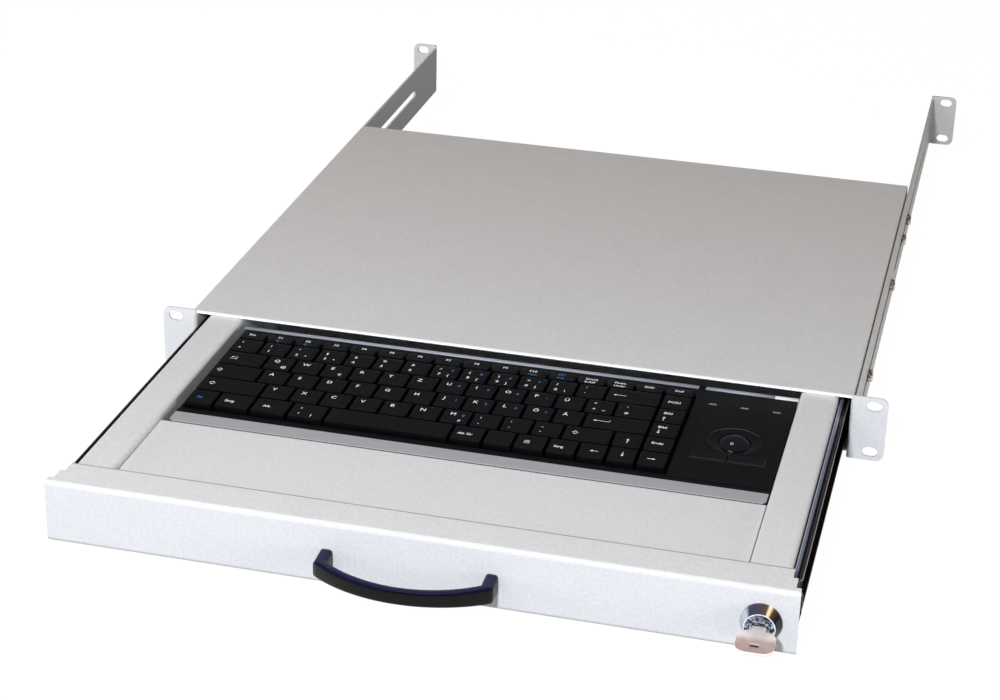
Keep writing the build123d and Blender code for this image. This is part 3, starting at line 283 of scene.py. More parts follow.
# Painted reflections: a dark base, pale stripes on the lip, streaks on the walls.
slide_metal, tree, shader = start("bright_zinc_drawn_slide", "#241F1D", 0.2, 0.6)
rolled_lines(tree, shader)
place = add(tree, "ShaderNodeTexCoord").outputs["Object"]
across = add(tree, "ShaderNodeSeparateXYZ", {"Vector": place}).outputs["X"]
outward = add(tree, "ShaderNodeMath", {0: across}, operation="ABSOLUTE").outputs[0]
lip = {"Value": outward, "From Min": lip_inner * MM, "From Max": lip_outer * MM}
lip_share = add(tree, "ShaderNodeMapRange", lip).outputs[0]
stripes = add(tree, "ShaderNodeValToRGB", {"Fac": lip_share}, lip_reflection_stripes).outputs[0]
wall = object_pattern(tree, 2.5, stretch=(0.2, 0.01, 1))
streaks = add(tree, "ShaderNodeValToRGB", {"Fac": wall}, wall_reflection_streaks).outputs[0]
faces = add(tree, "ShaderNodeMix", {0: facing(tree, "Z"), 6: streaks, 7: stripes}, data_type="RGBA")
tree.links.new(faces.outputs[2], shader.inputs["Base Color"])

# %% [markdown]
# Key
#
# The key is stamped from nickel silver and tumbled: a warm pinkish grey, worn. Its cut edges get a painted
# white highlight, and the shoulder where it meets the plug a pale painted highlight. The slot in its bow
# holds a dark web, a painted shadow.

# %% Key
shoulder_highlight_fade = (-263.5, -258.0)
nickel, tree, shader = start("nickel_silver_key", "#C4A69B", 0.2, 0.35)
wear = object_pattern(tree, 0.8)
rough(tree, shader, wear, 0.12, 0.34)
bump(tree, shader, wear, 0.02, 0.4)
vary(tree, shader, object_pattern(tree, 5), "#A88A82", "#D4BAB0")
# Painted highlight: walls and bevels near white.
over(tree, shader, facing(tree, "Z", walls=True), "#F7F1EC")
# Painted highlight: a pale shoulder by the plug.
edge_band(tree, shader, "Y", *shoulder_highlight_fade, "#EFE6E0")

# Painted shadow in the slot: matt, dark and warm.
slot_shadow, tree, shader = start("blackened_slot", "#3A3536", 0.6)
vary(tree, shader, object_pattern(tree, 0.8), "#2E2A2B", "#4A4445")

# %% [markdown]
# Chrome
#
# The lock is chrome-plated. Its bezel mirrors white floor on the left, an amber lamp in a dark room
# above, and black on the right. The plain world here has none of them, so these reflections are painted:
# the angle round the lock's centre picks a colour from a ramp, and only part of it is mirrored. The
# bezel's rim gets a painted white highlight, and between it and the plug the chrome shows flecks of navy
# and pale blue.

# %% Chrome
painted_reflections_round_the_bezel = (
    (0.0, "#A9AEB6"), (0.16, "#DDE3EA"), (0.3, "#4A4D55"), (0.4, "#08080A"), (0.54, "#0A0809"),
    (0.6, "#2A201E"), (0.655, "#5A4030"), (0.675, "#FFE2A8"), (0.69, "#FFF2D0"), (0.705, "#6B4E38"),
    (0.76, "#4C4650"), (0.86, "#3C465A"), (0.875, "#8C929C"), (0.9, "#B9BEC6"), (1.0, "#A9AEB6"))
rim_highlight_fade, plug_fade = (8.85, 8.7), (8.5, 8.3)


def fleck_colour(tree):
    """Flecks of navy and pale blue."""
    flecks = object_pattern(tree, 2.0, stretch=(1, 1, 1.6))
    hard = add(tree, "ShaderNodeMapRange", {"Value": flecks, "From Min": 0.42, "From Max": 0.68}).outputs[0]
    blues = {0: hard, 6: linear("#141A28"), 7: linear("#C3CDDC")}
    return add(tree, "ShaderNodeMix", blues, data_type="RGBA").outputs[2]


def bezel_chrome(centre):
    """Polished chrome with painted reflections: angle = arctan of Z over X from the lock's centre, radius =
    length of the two.
    """
    made, tree, shader = start("polished_chrome_bezel", "#B9BCC4", 0.08, 0.3)
    place = add(tree, "ShaderNodeTexCoord").outputs["Object"]
    offset = add(tree, "ShaderNodeVectorMath", {0: place, 1: centre}, operation="SUBTRACT").outputs[0]
    parts = add(tree, "ShaderNodeSeparateXYZ", {"Vector": offset}).outputs
    angle = add(tree, "ShaderNodeMath", {0: parts["Z"], 1: parts["X"]}, operation="ARCTAN2").outputs[0]
    turn = add(tree, "ShaderNodeMapRange", {"Value": angle, "From Min": -pi, "From Max": pi}).outputs[0]
    flat = add(tree, "ShaderNodeVectorMath", {0: offset, 1: (1, 0, 1)}, operation="MULTIPLY").outputs[0]
    radius = add(tree, "ShaderNodeVectorMath", {0: flat}, operation="LENGTH").outputs["Value"]
    colour = add(tree, "ShaderNodeValToRGB", {"Fac": turn}, painted_reflections_round_the_bezel).outputs[0]
    # Painted white highlight on the rim, then the navy and pale blue flecks inside it.
    for (outer, inner), inside in ((rim_highlight_fade, linear("#FFFFFF")), (plug_fade, fleck_colour(tree))):
        fade = {"Value": radius, "From Min": outer * MM, "From Max": inner * MM}
        share = add(tree, "ShaderNodeMapRange", fade).outputs[0]
        colour = add(tree, "ShaderNodeMix", {0: share, 6: colour, 7: inside}, data_type="RGBA").outputs[2]
    tree.links.new(colour, shader.inputs["Base Color"])
    return made


# The plug's face: flecked all over.
plug_metal, tree, shader = start("scratched_chrome_plug", "#5C6678", 0.16, 0.35)
tree.links.new(fleck_colour(tree), shader.inputs["Base Color"])

# %% [markdown]
# Ball steel
#
# The slides run on hardened balls, ground and polished: a sharp mirror. The roughness that wanders on it is
# oil.

# %% Ball steel
ball_steel = plain("polished_ball_steel", "#D5D6D9", 0.08, 2, (0.05, 0.14), 1.0)

# %% [markdown]
# Moulded plastics
#
# The keyboard is moulded in black ABS, spark-eroded on the tops and polished on the walls. Tops and walls
# differ in tone as painted light: the walls are painted darker than the tops, as shade. Keys are finer and
# a touch glossier than the shell. The mouse buttons are the other way round, with a painted highlight on
# their rim, and the handle has a painted blue reflection of daylight on top. The grain is a noise of 0.3
# mm, drawn coarser than the real one of 0.05 mm.

# %% Plastics
def grained_plastic(name, wall, top, cell, low, high):
    """Painted light by the way a face looks: walls in one tone and tops in another. The grain blurs all that
    the plastic mirrors.
    """
    made, tree, shader = start(name, top, high, IOR=1.5, Specular_IOR_Level=0.2)
    vary(tree, shader, facing(tree, "Z"), wall, top)
    grain = object_pattern(tree, cell)
    rough(tree, shader, grain, low, high)
    bump(tree, shader, grain, 0.02, 0.5)
    return made


# Painted shade on the walls of shell and keys, a painted highlight on button rims, a painted blue reflection
# on handle tops.
shell_abs = grained_plastic("grained_black_abs", "#0A0A0B", "#131313", 0.35, 0.42, 0.6)
key_abs = grained_plastic("satin_black_key_abs", "#060607", "#121213", 0.3, 0.26, 0.46)
button_abs = grained_plastic("satin_black_button_abs", "#343436", "#151517", 0.3, 0.26, 0.46)
handle_abs = grained_plastic("satin_black_handle", "#050406", "#131433", 0.4, 0.26, 0.42)

# %% [markdown]
# Silver trim
#
# The strips round the keyboard are plastic, lacquered silver on top, with a brushed look. Their walls below
# the edge are painted dark, as shade, and behind the front strip runs a dark band. The lines are a noise
# pulled long along X, 0.5 mm apart, where real brushing is five times finer. The last stretch of the rear
# strip is bare, and its white is a painted reflection.

# %% Trim
band_fade = (-128.6, -128.3)


def brushed_trim(name, wall, dark, light, band=None):
    """Silver lacquer: a broad soft glint, broken into fine lines, over walls painted darker as shade."""
    made, tree, shader = start(name, light, 0.4, 0.2)
    lines = object_pattern(tree, 0.5, stretch=(0.03, 1, 1))
    vary(tree, shader, lines, dark, light)
    # Painted shade: the walls take the darker tone.
    over(tree, shader, facing(tree, "Z", walls=True), wall)
    if band:
        edge_band(tree, shader, *band)
    rough(tree, shader, lines, 0.34, 0.48)
    bump(tree, shader, lines, 0.01, 0.4)
    return made


trim = brushed_trim("silver_painted_trim", "#4A4A4E", "#ABA9AD", "#BCBABF", ("Y", *band_fade, "#0E0E0F"))
rear_trim = brushed_trim("silver_painted_rear_trim", "#8A9098", "#B0B7C0", "#C6CCD6")

# Bare: its white, brighter than the lacquer, is a painted reflection.
bare_trim, tree, shader = start("bare_bright_trim", "#FFFFFF", 0.4)
grain = object_pattern(tree, 1)
rough(tree, shader, grain, 0.3, 0.5)
vary(tree, shader, grain, "#F4F6FA", "#FFFFFF")

# %% [markdown]
# Resin and windows
#
# The trackball is cast resin, turned and buffed until it mirrors like glaze: nearly black, with one sharp
# glint. Its ring is a little duller. Hands leave smears, so the gloss wanders. The indicator windows are
# frosted acrylic, a flat grey behind a glossy face.

# %% Resin and windows
resin = plain("polished_black_resin", "#0A0A0B", 0.12, 4, (0.04, 0.12), IOR=1.53)
glaze = plain("glazed_black_ball", "#0A0A0B", 0.12, 4, (0.04, 0.12), IOR=1.9)
window = plain("frosted_indicator_window", "#7C807C", 0.1, 0.8, (0.06, 0.16), IOR=1.5)

# %% [markdown]
# Board and rubber
#
# Under the keys lie a circuit board with a green mask and a sheet of milky silicone domes, soft and without
# a clear glint. They are hidden, so they are plain. Copper shines through the mask as bricks of 6 mm, much
# coarser than real tracks.

# %% Board and rubber
laminate, tree, shader = start("circuit_board_laminate", "#1E5A32", 0.35, IOR=1.55)
vary(tree, shader, object_pattern(tree, 6, kind="ShaderNodeTexBrick"), "#1B5230", "#2F7A49")
rubber = plain("milky_silicone_rubber", "#C9C8C2", 0.55, 1, (0.48, 0.62), IOR=1.41)

# %% [markdown]
# Legend inks
#
# Letters are pad-printed in a matt white ink, and the second functions in blue. A picture of the letters
# could lie on the keys, but printed shapes stay sharp from near, so ink is a material of its own. Its 0.3
# mm grain is coarser than real, or it would not show.

# %% Inks
white_ink = plain("white_legend_ink", "#F4F4F4", 0.55, 0.3, (0.48, 0.62), IOR=1.5)
blue_ink = plain("blue_legend_ink", "#4380BE", 0.55, 0.3, (0.48, 0.62), IOR=1.5)
print("materials", len(bpy.data.materials))

# %% [markdown]
# Pieces that keep the CAD shape
#
# Folded sheet, slides and screws are right as they are, but their edges are perfectly sharp, and a real
# edge catches a thin line of light. So a copy of each is merged, its flat faces are joined, and a bevel of
# a few tenths of a millimetre runs round it. The copy replaces the node, and the node stays in the physics
# model.

# %% Rounded copies of CAD nodes
def hang(data, name, node, material, replace=True):
    """Link a mesh as a piece of the node's body, in the node's place."""
    piece = bpy.data.objects.new(name, data)
    bpy.context.scene.collection.objects.link(piece)
    data.materials.append(material)
    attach(piece, body_of[node])
    if replace:
        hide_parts(node)
    return piece


weld, flat_turn, edge_turn = 0.002 * MM, radians(0.5), radians(32)


def edged(node, material, width=0.25):
    """Copy of a node: near points merged, flat faces joined, then a bevel of a width in millimetres."""
    mesh = bmesh.new()
    mesh.from_mesh(frame["nodes"][node].data)
    bmesh.ops.remove_doubles(mesh, verts=mesh.verts, dist=weld)
    bmesh.ops.dissolve_limit(mesh, angle_limit=flat_turn, verts=mesh.verts, edges=mesh.edges)
    data = bpy.data.meshes.new(f"{node}_edged")
    mesh.to_mesh(data)
    mesh.free()
    data.shade_smooth()
    piece = hang(data, f"{node}_edged", node, material)
    bevel = piece.modifiers.new("edge", "BEVEL")
    bevel.width = width * MM
    bevel.segments = 2
    bevel.limit_method = "ANGLE"
    bevel.angle_limit = edge_turn
    piece.modifiers.new("shading", "WEIGHTED_NORMAL").keep_sharp = True
    return piece


finishes = {
    cover_paint: ("top_cover",), panel_paint: ("front_panel",), palm_paint: ("palm_rest",),
    sheet_paint: ("case_floor", "left_side_plate", "right_side_plate", "drawer_tray"),
    left_rail_paint: ("left_rear_rail",), right_rail_paint: ("right_rear_rail",),
    slide_metal: ("left_slide_outer", "right_slide_outer", "left_slide_inner", "right_slide_inner"),
    zinc: ("left_ball_cage", "right_ball_cage", "lock_strike", "lock_nut", "lock_cam", "cam_nut",
           "pitch_roller", "roll_roller"),
    screws: ("cover_screws", "rail_screws", "slide_screws", "handle_screws"),
    shell_abs: ("keyboard_base", "keyboard_top", "key_plate", "ball_housing", "trackball_plate"),
    button_abs: ("mouse_button_left", "mouse_button_right"),
    trim: ("front_trim",), plug_metal: ("lock_plug",), nickel: ("lock_key",), window: ("led_windows",),
}
edge_rounds = {"top_cover": 0.6, "lock_key": 0.9}
for material, nodes in finishes.items():
    for node in nodes:
        edged(node, material, edge_rounds.get(node, 0.25))
print("rounded copies", sum(len(nodes) for nodes in finishes.values()))

# %% [markdown]
# Pieces that keep the CAD mesh
#
# The circuit board and the rubber sheet are hidden under the keys. They could be rounded too, but nobody
# sees their edges, so they stay as they are and only get their material.

# %% Hidden sheets
def paint(node, material):
    """Give a node's own mesh one material."""
    data = frame["nodes"][node].data
    data.materials.clear()
    data.materials.append(material)


paint("circuit_board", laminate)
paint("dome_sheet", rubber)
print("kept as they are: circuit_board, dome_sheet")

# %% [markdown]
# Surfaces on a grid
#
# Everything round is worked out as a grid of points: rows along one parameter, columns along the other. The
# CAD mesh is a row of flat facets there, and subdividing it would keep the facets. Numpy makes all points
# at once, and the faces join each point to its neighbours in the next row and column.

# %% Grid to mesh
def grid_faces(rows, columns, close_rows=False, close_columns=False):
    """Four corners of each face: a point, the next column, the same in the next row, and back."""
    index = np.arange(rows * columns).reshape(rows, columns)
    if close_rows:
        index = np.vstack([index, index[:1]])
    if close_columns:
        index = np.hstack([index, index[:, :1]])
    return np.stack([index[:-1, :-1], index[:-1, 1:], index[1:, 1:], index[1:, :-1]], axis=-1).reshape(-1, 4)


def mesh_of(name, points, faces):
    """Mesh from arrays, its doubles merged, its faces turned outwards and shaded smooth."""
    data = bpy.data.meshes.new(name)
    data.from_pydata(np.asarray(points).reshape(-1, 3).tolist(), [], [list(face) for face in faces])
    mesh = bmesh.new()
    mesh.from_mesh(data)
    bmesh.ops.remove_doubles(mesh, verts=mesh.verts, dist=0.001 * MM)
    bmesh.ops.recalc_face_normals(mesh, faces=mesh.faces)
    mesh.to_mesh(data)
    mesh.free()
    data.shade_smooth()
    return data


# %% [markdown]
# Silver strips behind the keys
#
# Two silver strips lie behind the keys and behind the trackball. A strip is a half-round bar. It could be a
# rounded copy like the sheets, but the photograph shows it narrower than its solid, so its profile is
# carried along the row. The last stretch of the right one is bare, with a painted white reflection, so it
# is a piece of its own here.

# %% Strips
strip_depth, bright_length = 4.2, 15.0


def strip(name, node, start_x, end_x, material, replace):
    """Bar from one X to the other: y = back - depth / 2 * (1 + cos t), z = foot + height * sin t to the power
    0.4, with t from 0 to pi."""
    low, high = (np.array(corner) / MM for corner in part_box(node))
    t = np.linspace(0, pi, 9)
    profile_y = high[1] - strip_depth / 2 * (1 + np.cos(t))
    profile_z = low[2] + (high[2] - low[2]) * np.sin(t) ** 0.4
    points = np.stack(np.broadcast_arrays([[start_x], [end_x]], profile_y, profile_z), axis=-1) * MM
    faces = grid_faces(2, len(t), close_columns=True).tolist()
    closed = [list(range(len(t))), list(range(len(t), 2 * len(t)))]
    return hang(mesh_of(name, points, faces + closed), name, node, material, replace)


left_low, left_high = (np.array(corner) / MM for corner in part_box("rear_trim_left"))
right_low, right_high = (np.array(corner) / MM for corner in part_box("rear_trim_right"))
bright_from = right_high[0] - bright_length
strip("rear_strip_left", "rear_trim_left", left_low[0], left_high[0], rear_trim, True)
strip("rear_strip_right", "rear_trim_right", right_low[0], bright_from, rear_trim, True)
strip("rear_strip_bright_end", "rear_trim_right", bright_from, right_high[0], bare_trim, False)
print("strips from", left_low[0], "to", right_high[0])

# %% [markdown]
# Turned pieces
#
# The lock's bezel, the trackball's ring and the balls are turned on a lathe. A screw modifier could spin
# their outline, but the same formula in numpy needs no object first: a profile of radius and place along
# the axis is carried round it. Corners of a profile get a second point nearby, so that smooth shading stays
# tight.

# %% Revolve
def turned(profile, centre, along, columns=64):
    """Point = centre + place * axis + radius * (cos t * side + sin t * up), t running once round."""
    profile = np.array(profile) * MM
    axis = np.array(along, float)
    side = np.array([1.0, 0, 0]) if abs(axis[0]) < 0.5 else np.array([0, 1.0, 0])
    up = np.cross(axis, side)
    turn = np.linspace(0, 2 * pi, columns, endpoint=False)[None, :, None]
    ring = np.cos(turn) * side + np.sin(turn) * up
    points = np.array(centre) + profile[:, None, 1:] * axis + profile[:, None, :1] * ring
    return points, grid_faces(len(profile), columns, close_columns=True)


def middle_of(node):
    """Middle of a node's box."""
    low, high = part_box(node)
    return (np.array(low) + np.array(high)) / 2


def size_of(node):
    """Size of a node's box, in millimetres."""
    low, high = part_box(node)
    return (np.array(high) - np.array(low)) / MM


# %% [markdown]
# Lock bezel
#
# The lock is a brass barrel with a chromed bezel. Its face has a raised rim with a round shoulder, a flat
# ring and a step down to the plug. The profile runs from the back of the bore over the rim and back into
# the bore.

# %% Lock bezel
lock_low, lock_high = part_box("lock_housing")
panel_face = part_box("front_panel")[0][1]
lock_centre = (middle_of("lock_housing")[0], panel_face, middle_of("lock_housing")[2])
bezel_radius = size_of("lock_housing")[0] / 2
bezel_depth = (panel_face - lock_low[1]) / MM
barrel_depth = (lock_high[1] - panel_face) / MM
bore = size_of("lock_plug")[0] / 2 + 0.3
bezel_profile = [(bore, -barrel_depth), (9.0, -barrel_depth), (9.0, -0.02), (bezel_radius - 0.3, 0.0),
                 (bezel_radius, 0.25), (bezel_radius, 0.8), (bezel_radius - 0.25, 1.2),
                 (8.75, bezel_depth - 0.35), (8.5, bezel_depth - 0.08), (8.1, bezel_depth),
                 (7.0, bezel_depth), (6.85, bezel_depth - 0.15), (6.7, bezel_depth - 0.5),
                 (bore + 0.2, bezel_depth - 0.5), (bore, bezel_depth - 0.7), (bore, -barrel_depth)]
points, faces = turned(bezel_profile, lock_centre, (0, -1, 0), 96)
chrome = bezel_chrome([float(value) for value in lock_centre])
hang(mesh_of("lock_bezel", points, faces), "lock_bezel", "lock_housing", chrome)
print("lock bezel", bezel_radius, "mm in radius,", round(bezel_depth, 2), "mm proud")

# %% [markdown]
# Trackball ring
#
# A loose ring holds the ball down. It is turned like the ball, with a sloping top that leads the fingers
# in.

# %% Trackball ring
ball_centre = middle_of("trackball")
ball_radius = size_of("trackball")[2] / 2
lift = (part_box("retaining_ring")[0][2] - ball_centre[2]) / MM
crest = lift + size_of("retaining_ring")[2]
flange = size_of("retaining_ring")[0] / 2
ring_profile = [(11.3, lift), (flange, lift), (flange, lift + 1.4), (17.5, lift + 1.4), (17.5, crest - 0.3),
                (17.2, crest), (16.4, crest - 0.05), (13.5, crest - 0.75), (10.6, crest - 1.05),
                (10.1, crest - 1.25), (10.1, crest - 1.7), (11.3, lift)]
points, faces = turned(ring_profile, ball_centre, (0, 0, 1), 96)
hang(mesh_of("trackball_ring", points, faces), "trackball_ring", "retaining_ring", resin)
print("trackball", round(2 * ball_radius, 2), "mm across")

# %% [markdown]
# Balls
#
# A ball is the same turning with a half circle as its profile. The small balls of the slides lie where
# their solids lie: each solid is an island of points that its edges join, and its box gives the ball's
# middle.

# %% Balls
def ball_mesh(name, centres, radius, rows=24, columns=32):
    """Half circle from pole to pole, turned round the upright axis, for each centre."""
    t = np.linspace(-pi / 2, pi / 2, rows)
    profile = np.stack([np.cos(t), np.sin(t)], axis=1) * radius
    balls = [turned(profile, centre, (0, 0, 1), columns) for centre in centres]
    points = np.concatenate([part.reshape(-1, 3) for part, _ in balls])
    faces = np.concatenate([part + i * rows * columns for i, (_, part) in enumerate(balls)])
    return mesh_of(name, points, faces)


def points_of(data):
    """All points of a mesh as one array."""
    points = np.empty(3 * len(data.vertices), np.float32)
    data.vertices.foreach_get("co", points)
    return points.reshape(-1, 3).astype(float)


def islands(node):
    """Box of each solid of a node: every point takes the lowest number among itself and its neighbours until
    none changes, and points with the same number are one solid."""
    mesh = bmesh.new()
    mesh.from_mesh(frame["nodes"][node].data)
    bmesh.ops.remove_doubles(mesh, verts=mesh.verts, dist=weld)
    data = bpy.data.meshes.new("islands")
    mesh.to_mesh(data)
    mesh.free()
    points = points_of(data)
    ends = np.empty(2 * len(data.edges), np.int32)
    data.edges.foreach_get("vertices", ends)
    first, second = ends.reshape(-1, 2).T
    bpy.data.meshes.remove(data)
    label, lowest = None, np.arange(len(points))
    while label is None or (lowest != label).any():
        label = lowest.copy()
        np.minimum.at(lowest, first, label[second])
        np.minimum.at(lowest, second, label[first])
    return [(points[label == own].min(axis=0), points[label == own].max(axis=0)) for own in np.unique(label)]


trackball = ball_mesh("trackball_polished", [ball_centre], ball_radius, 64, 96)
hang(trackball, "trackball_polished", "trackball", glaze)
for side in ("left", "right"):
    boxes = islands(f"{side}_balls")
    radius = (boxes[0][1][2] - boxes[0][0][2]) / 2 / MM
    mesh = ball_mesh(f"{side}_balls_polished", [(low + high) / 2 for low, high in boxes], radius)
    hang(mesh, f"{side}_balls_polished", f"{side}_balls", ball_steel)
    print(side, "balls", len(boxes), "of radius", round(radius, 3), "mm")

# %% [markdown]
# Slot in the key
#
# The bow of the key has a slot near its end. It lies in shade, and the white floor would show through it
# here, so a thin dark web, a painted shadow, closes it half-way down. It fits the slot of the solid.

# %% Key slot
slot_middle_y, slot_half_length, slot_half_width, slot_half_sheet = -267.40, 1.50, 2.50, 0.3
key_middle = middle_of("lock_key") / MM
corners = np.array([(x, y, z) for x in (-1, 1) for y in (-1, 1) for z in (-1, 1)])
slot_middle = [key_middle[0], slot_middle_y, key_middle[2]]
web = corners * [slot_half_width, slot_half_length, slot_half_sheet] + slot_middle
web_faces = [[0, 1, 3, 2], [4, 6, 7, 5], [0, 4, 5, 1], [2, 3, 7, 6], [0, 2, 6, 4], [1, 5, 7, 3]]
hang(mesh_of("key_slot_web", web * MM, web_faces), "key_slot_web", "lock_key", slot_shadow, replace=False)
print("key slot", 2 * slot_half_width, "by", 2 * slot_half_length, "mm")

# %% [markdown]
# Handle
#
# The handle is one moulding: two posts and a bow. A bevelled copy would keep its flat facets, so it is
# drawn anew: its outer and inner outline are two lines with the same count of points, and at each pair a
# rounded section stands across. The section is a superellipse, a rectangle whose corners melt as on a
# moulded grip.

# %% Handle
low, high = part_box("handle")
half_width, reach = (high[0] - low[0]) / 2, high[1] - low[1]
centre_x, centre_z = (high[0] + low[0]) / 2, (high[2] + low[2]) / 2
post, shoulder, bow = 7.6 * MM, 12.8 * MM, 5.8 * MM
root_half, tip_half = (high[2] - low[2]) / 2, 4.3 * MM
melt = 0.45


def bow_outline(half, shoulder_out, tip_out, count=48, foot=10):
    """Straight foot, then a circle through both shoulders and the tip, then the other foot."""
    sag = tip_out - shoulder_out
    radius = (half ** 2 + sag ** 2) / (2 * sag)
    x = np.linspace(-half, half, count)
    out = tip_out - radius + np.sqrt(radius ** 2 - x ** 2)
    feet = np.linspace(0, shoulder_out, foot)[:-1]
    x = np.concatenate([np.full(foot - 1, -half), x, np.full(foot - 1, half)])
    return np.stack([x, np.concatenate([feet, out, feet[::-1]])], axis=1)


radius_out = (half_width ** 2 + (reach - shoulder) ** 2) / (2 * (reach - shoulder))
radius_in = radius_out - bow
inner_half = half_width - post
inner_shoulder = reach - radius_out + np.sqrt(radius_in ** 2 - inner_half ** 2)
outer_line = bow_outline(half_width, shoulder, reach)
inner_line = bow_outline(inner_half, inner_shoulder, reach - bow)
around = np.linspace(0, 2 * pi, 40, endpoint=False)
section = np.stack([np.cos(around), np.sin(around)], axis=1)
section = np.sign(section) * np.abs(section) ** melt
centre_line = (outer_line + inner_line) / 2
across = (outer_line - inner_line) / 2
tall = root_half + (tip_half - root_half) * centre_line[:, 1] / reach
plan = centre_line[:, None] + across[:, None] * section[None, :, :1]
level = tall[:, None] * section[None, :, 1]
points = np.stack([centre_x + plan[..., 0], high[1] - plan[..., 1], centre_z + level], axis=-1)
faces = grid_faces(len(points), len(around), close_columns=True)
ends = [list(range(len(around))), list(range(points[..., 0].size - len(around), points[..., 0].size))]
hang(mesh_of("bow_handle", points, faces.tolist() + ends), "bow_handle", "handle", handle_abs)
print("handle points", points.shape)

# %% [markdown]
# Key caps
#
# Each cap is a rounded rectangle that shrinks as it rises, turns over a small shoulder and ends in a
# shallow dish. One cap could be copied to all places, but caps differ in width, so each is worked out from
# the box of its solid and always sits where that is.

# %% Key caps
key_nodes = [node for node in frame["nodes"]
             if node.endswith(("_keys", "_key", "space_bar")) and node != "lock_key"]
caps = sorted(((node, low, high) for node in key_nodes for low, high in islands(node)),
              key=lambda cap: (-round((cap[1][1] + cap[2][1]) / 2, 3), cap[1][0]))
key_top = max(high[2] for node, low, high in caps)
skirt = key_top - 5.7 * MM
side_slope, front_slope, back_slope = 0.7 * MM, 0.5 * MM, 0.6 * MM
shoulder_round, corner_round, least_round, dish = 0.3 * MM, 1.1 * MM, 0.3 * MM, 0.16 * MM


def cap_points(low, high, arc=4):
    """Corner arcs at shares 0, 1/2 and 1 of height, where the wall turns over by inset = round * (1 - cos t)
    and drop = round * (1 - sin t). Then rings shrink to the middle, dish * (1 - shrink squared) deep."""
    share = np.array([0.0, 0.5, 1.0, 1.0, 1.0, 1.0])[:, None]
    turn = np.concatenate([[0.0, 0.0], np.linspace(0, pi / 2, 4)])[:, None]
    corner = np.linspace(np.arange(4), np.arange(1, 5), arc, axis=1).ravel() * pi / 2
    quadrant = np.repeat(np.arange(4), arc)
    sign_x = np.where((quadrant == 0) | (quadrant == 3), 1.0, -1.0)
    sign_y = np.where(quadrant < 2, 1.0, -1.0)
    inset = shoulder_round * (1 - np.cos(turn))
    z = skirt + (key_top - skirt) * share - shoulder_round * (1 - np.sin(turn)) * (share == 1)
    x0, x1 = low[0] + side_slope * share + inset, high[0] - side_slope * share - inset
    y0, y1 = low[1] + front_slope * share + inset, high[1] - back_slope * share - inset
    r = np.maximum(corner_round - inset, least_round)
    x = (x0 + x1) / 2 + sign_x * ((x1 - x0) / 2 - r) + r * np.cos(corner)
    y = (y0 + y1) / 2 + sign_y * ((y1 - y0) / 2 - r) + r * np.sin(corner)
    walls = np.stack(np.broadcast_arrays(x, y, z), axis=-1)
    middle, shrink = walls[-1].mean(axis=0), np.array([0.7, 0.35, 0.0])[:, None, None]
    top = middle + (walls[-1] - middle) * shrink
    top[..., 2] = key_top - dish * (1 - shrink[..., 0] ** 2)
    return np.concatenate([walls, top])


for node in key_nodes:
    points, faces, count = [], [], 0
    for name, low, high in caps:
        if name == node:
            grid = cap_points(low, high)
            faces.append(grid_faces(*grid.shape[:2], close_columns=True) + count)
            points.append(grid.reshape(-1, 3))
            count += len(points[-1])
    mesh = mesh_of(f"{node}_caps", np.concatenate(points), np.concatenate(faces))
    hang(mesh, f"{node}_caps", node, key_abs)
print("key caps", len(caps))

# %% [markdown]
# Legends
#
# Every key has its printed letters: the main one up on the left, the shifted sign above a number, a third
# sign low on the right, and blue second functions. Blender's own font is turned to a mesh and laid on the
# cap, as crisp as print from near. Arrows are small outlines drawn from shares of their size.

# %% Letter and arrow meshes
ink_spread = 0.06 * MM
capital = 0.7


def letters(text, size):
    """Points and faces of a word in Blender's font, its left foot at the origin, its capitals one size high.
    The ink spreads, so each stroke is a little bolder than the font's."""
    curve = bpy.data.curves.new("word", "FONT")
    curve.body = text
    curve.size = size / capital
    curve.offset = ink_spread
    curve.resolution_u = 3
    curve.space_line = 0.85
    holder = bpy.data.objects.new("word", curve)
    bpy.context.scene.collection.objects.link(holder)
    bpy.context.view_layer.update()
    data = bpy.data.meshes.new_from_object(holder.evaluated_get(bpy.context.evaluated_depsgraph_get()))
    points = points_of(data)
    faces = [list(face.vertices) for face in data.polygons]
    bpy.data.objects.remove(holder)
    bpy.data.curves.remove(curve)
    bpy.data.meshes.remove(data)
    return points, faces


def arrow(angle, size, tail=1.0):
    """Arrow of two parts: a head, and a tail as long as the share, turned by the angle."""
    head = np.array([(0, 0.5), (-0.3, -0.05), (0.3, -0.05)])
    stick = np.array([(-0.07, 0), (-0.07, -tail), (0.07, -tail), (0.07, 0)])
    flat = np.concatenate([head, stick]) * size
    c, s = cos(radians(angle)), sin(radians(angle))
    flat = flat @ np.array([[c, s], [-s, c]])
    return np.column_stack([flat, np.zeros(len(flat))]), [[0, 1, 2], [3, 4, 5, 6]]


def shift_sign(size):
    """Hollow arrow pointing up: the outline's points once outside and once a little further in."""
    outer = np.array([(0, 0.5), (-0.5, 0), (-0.22, 0), (-0.22, -0.4), (0.22, -0.4), (0.22, 0), (0.5, 0)])
    flat = np.concatenate([outer, outer * [0.66, 0.7]]) * size
    faces = grid_faces(2, len(outer), close_columns=True).tolist()
    return np.column_stack([flat, np.zeros(len(flat))]), faces


# %% [markdown]
# Legend layout
#
# The legends stand in the order of the keys, row by row from the back, and each says its text, its size and
# its place as a share of the cap. The blue words are what a key does together with the blue Fn key.

# %% Legend layout
wide, main, small, tiny = 4.42 * MM, 3.4 * MM, 2.6 * MM, 2.4 * MM


def letter(text, third="", blue=""):
    """Letter key: the letter up on the left, a third sign low on the right, a blue one up on the right."""
    marks = [(text, main, (0.24, 0.6), white_ink)]
    if third:
        marks.append((third, small, (0.62, 0.2), white_ink))
    if blue:
        marks.append((blue, small, (0.68, 0.56), blue_ink))
    return marks


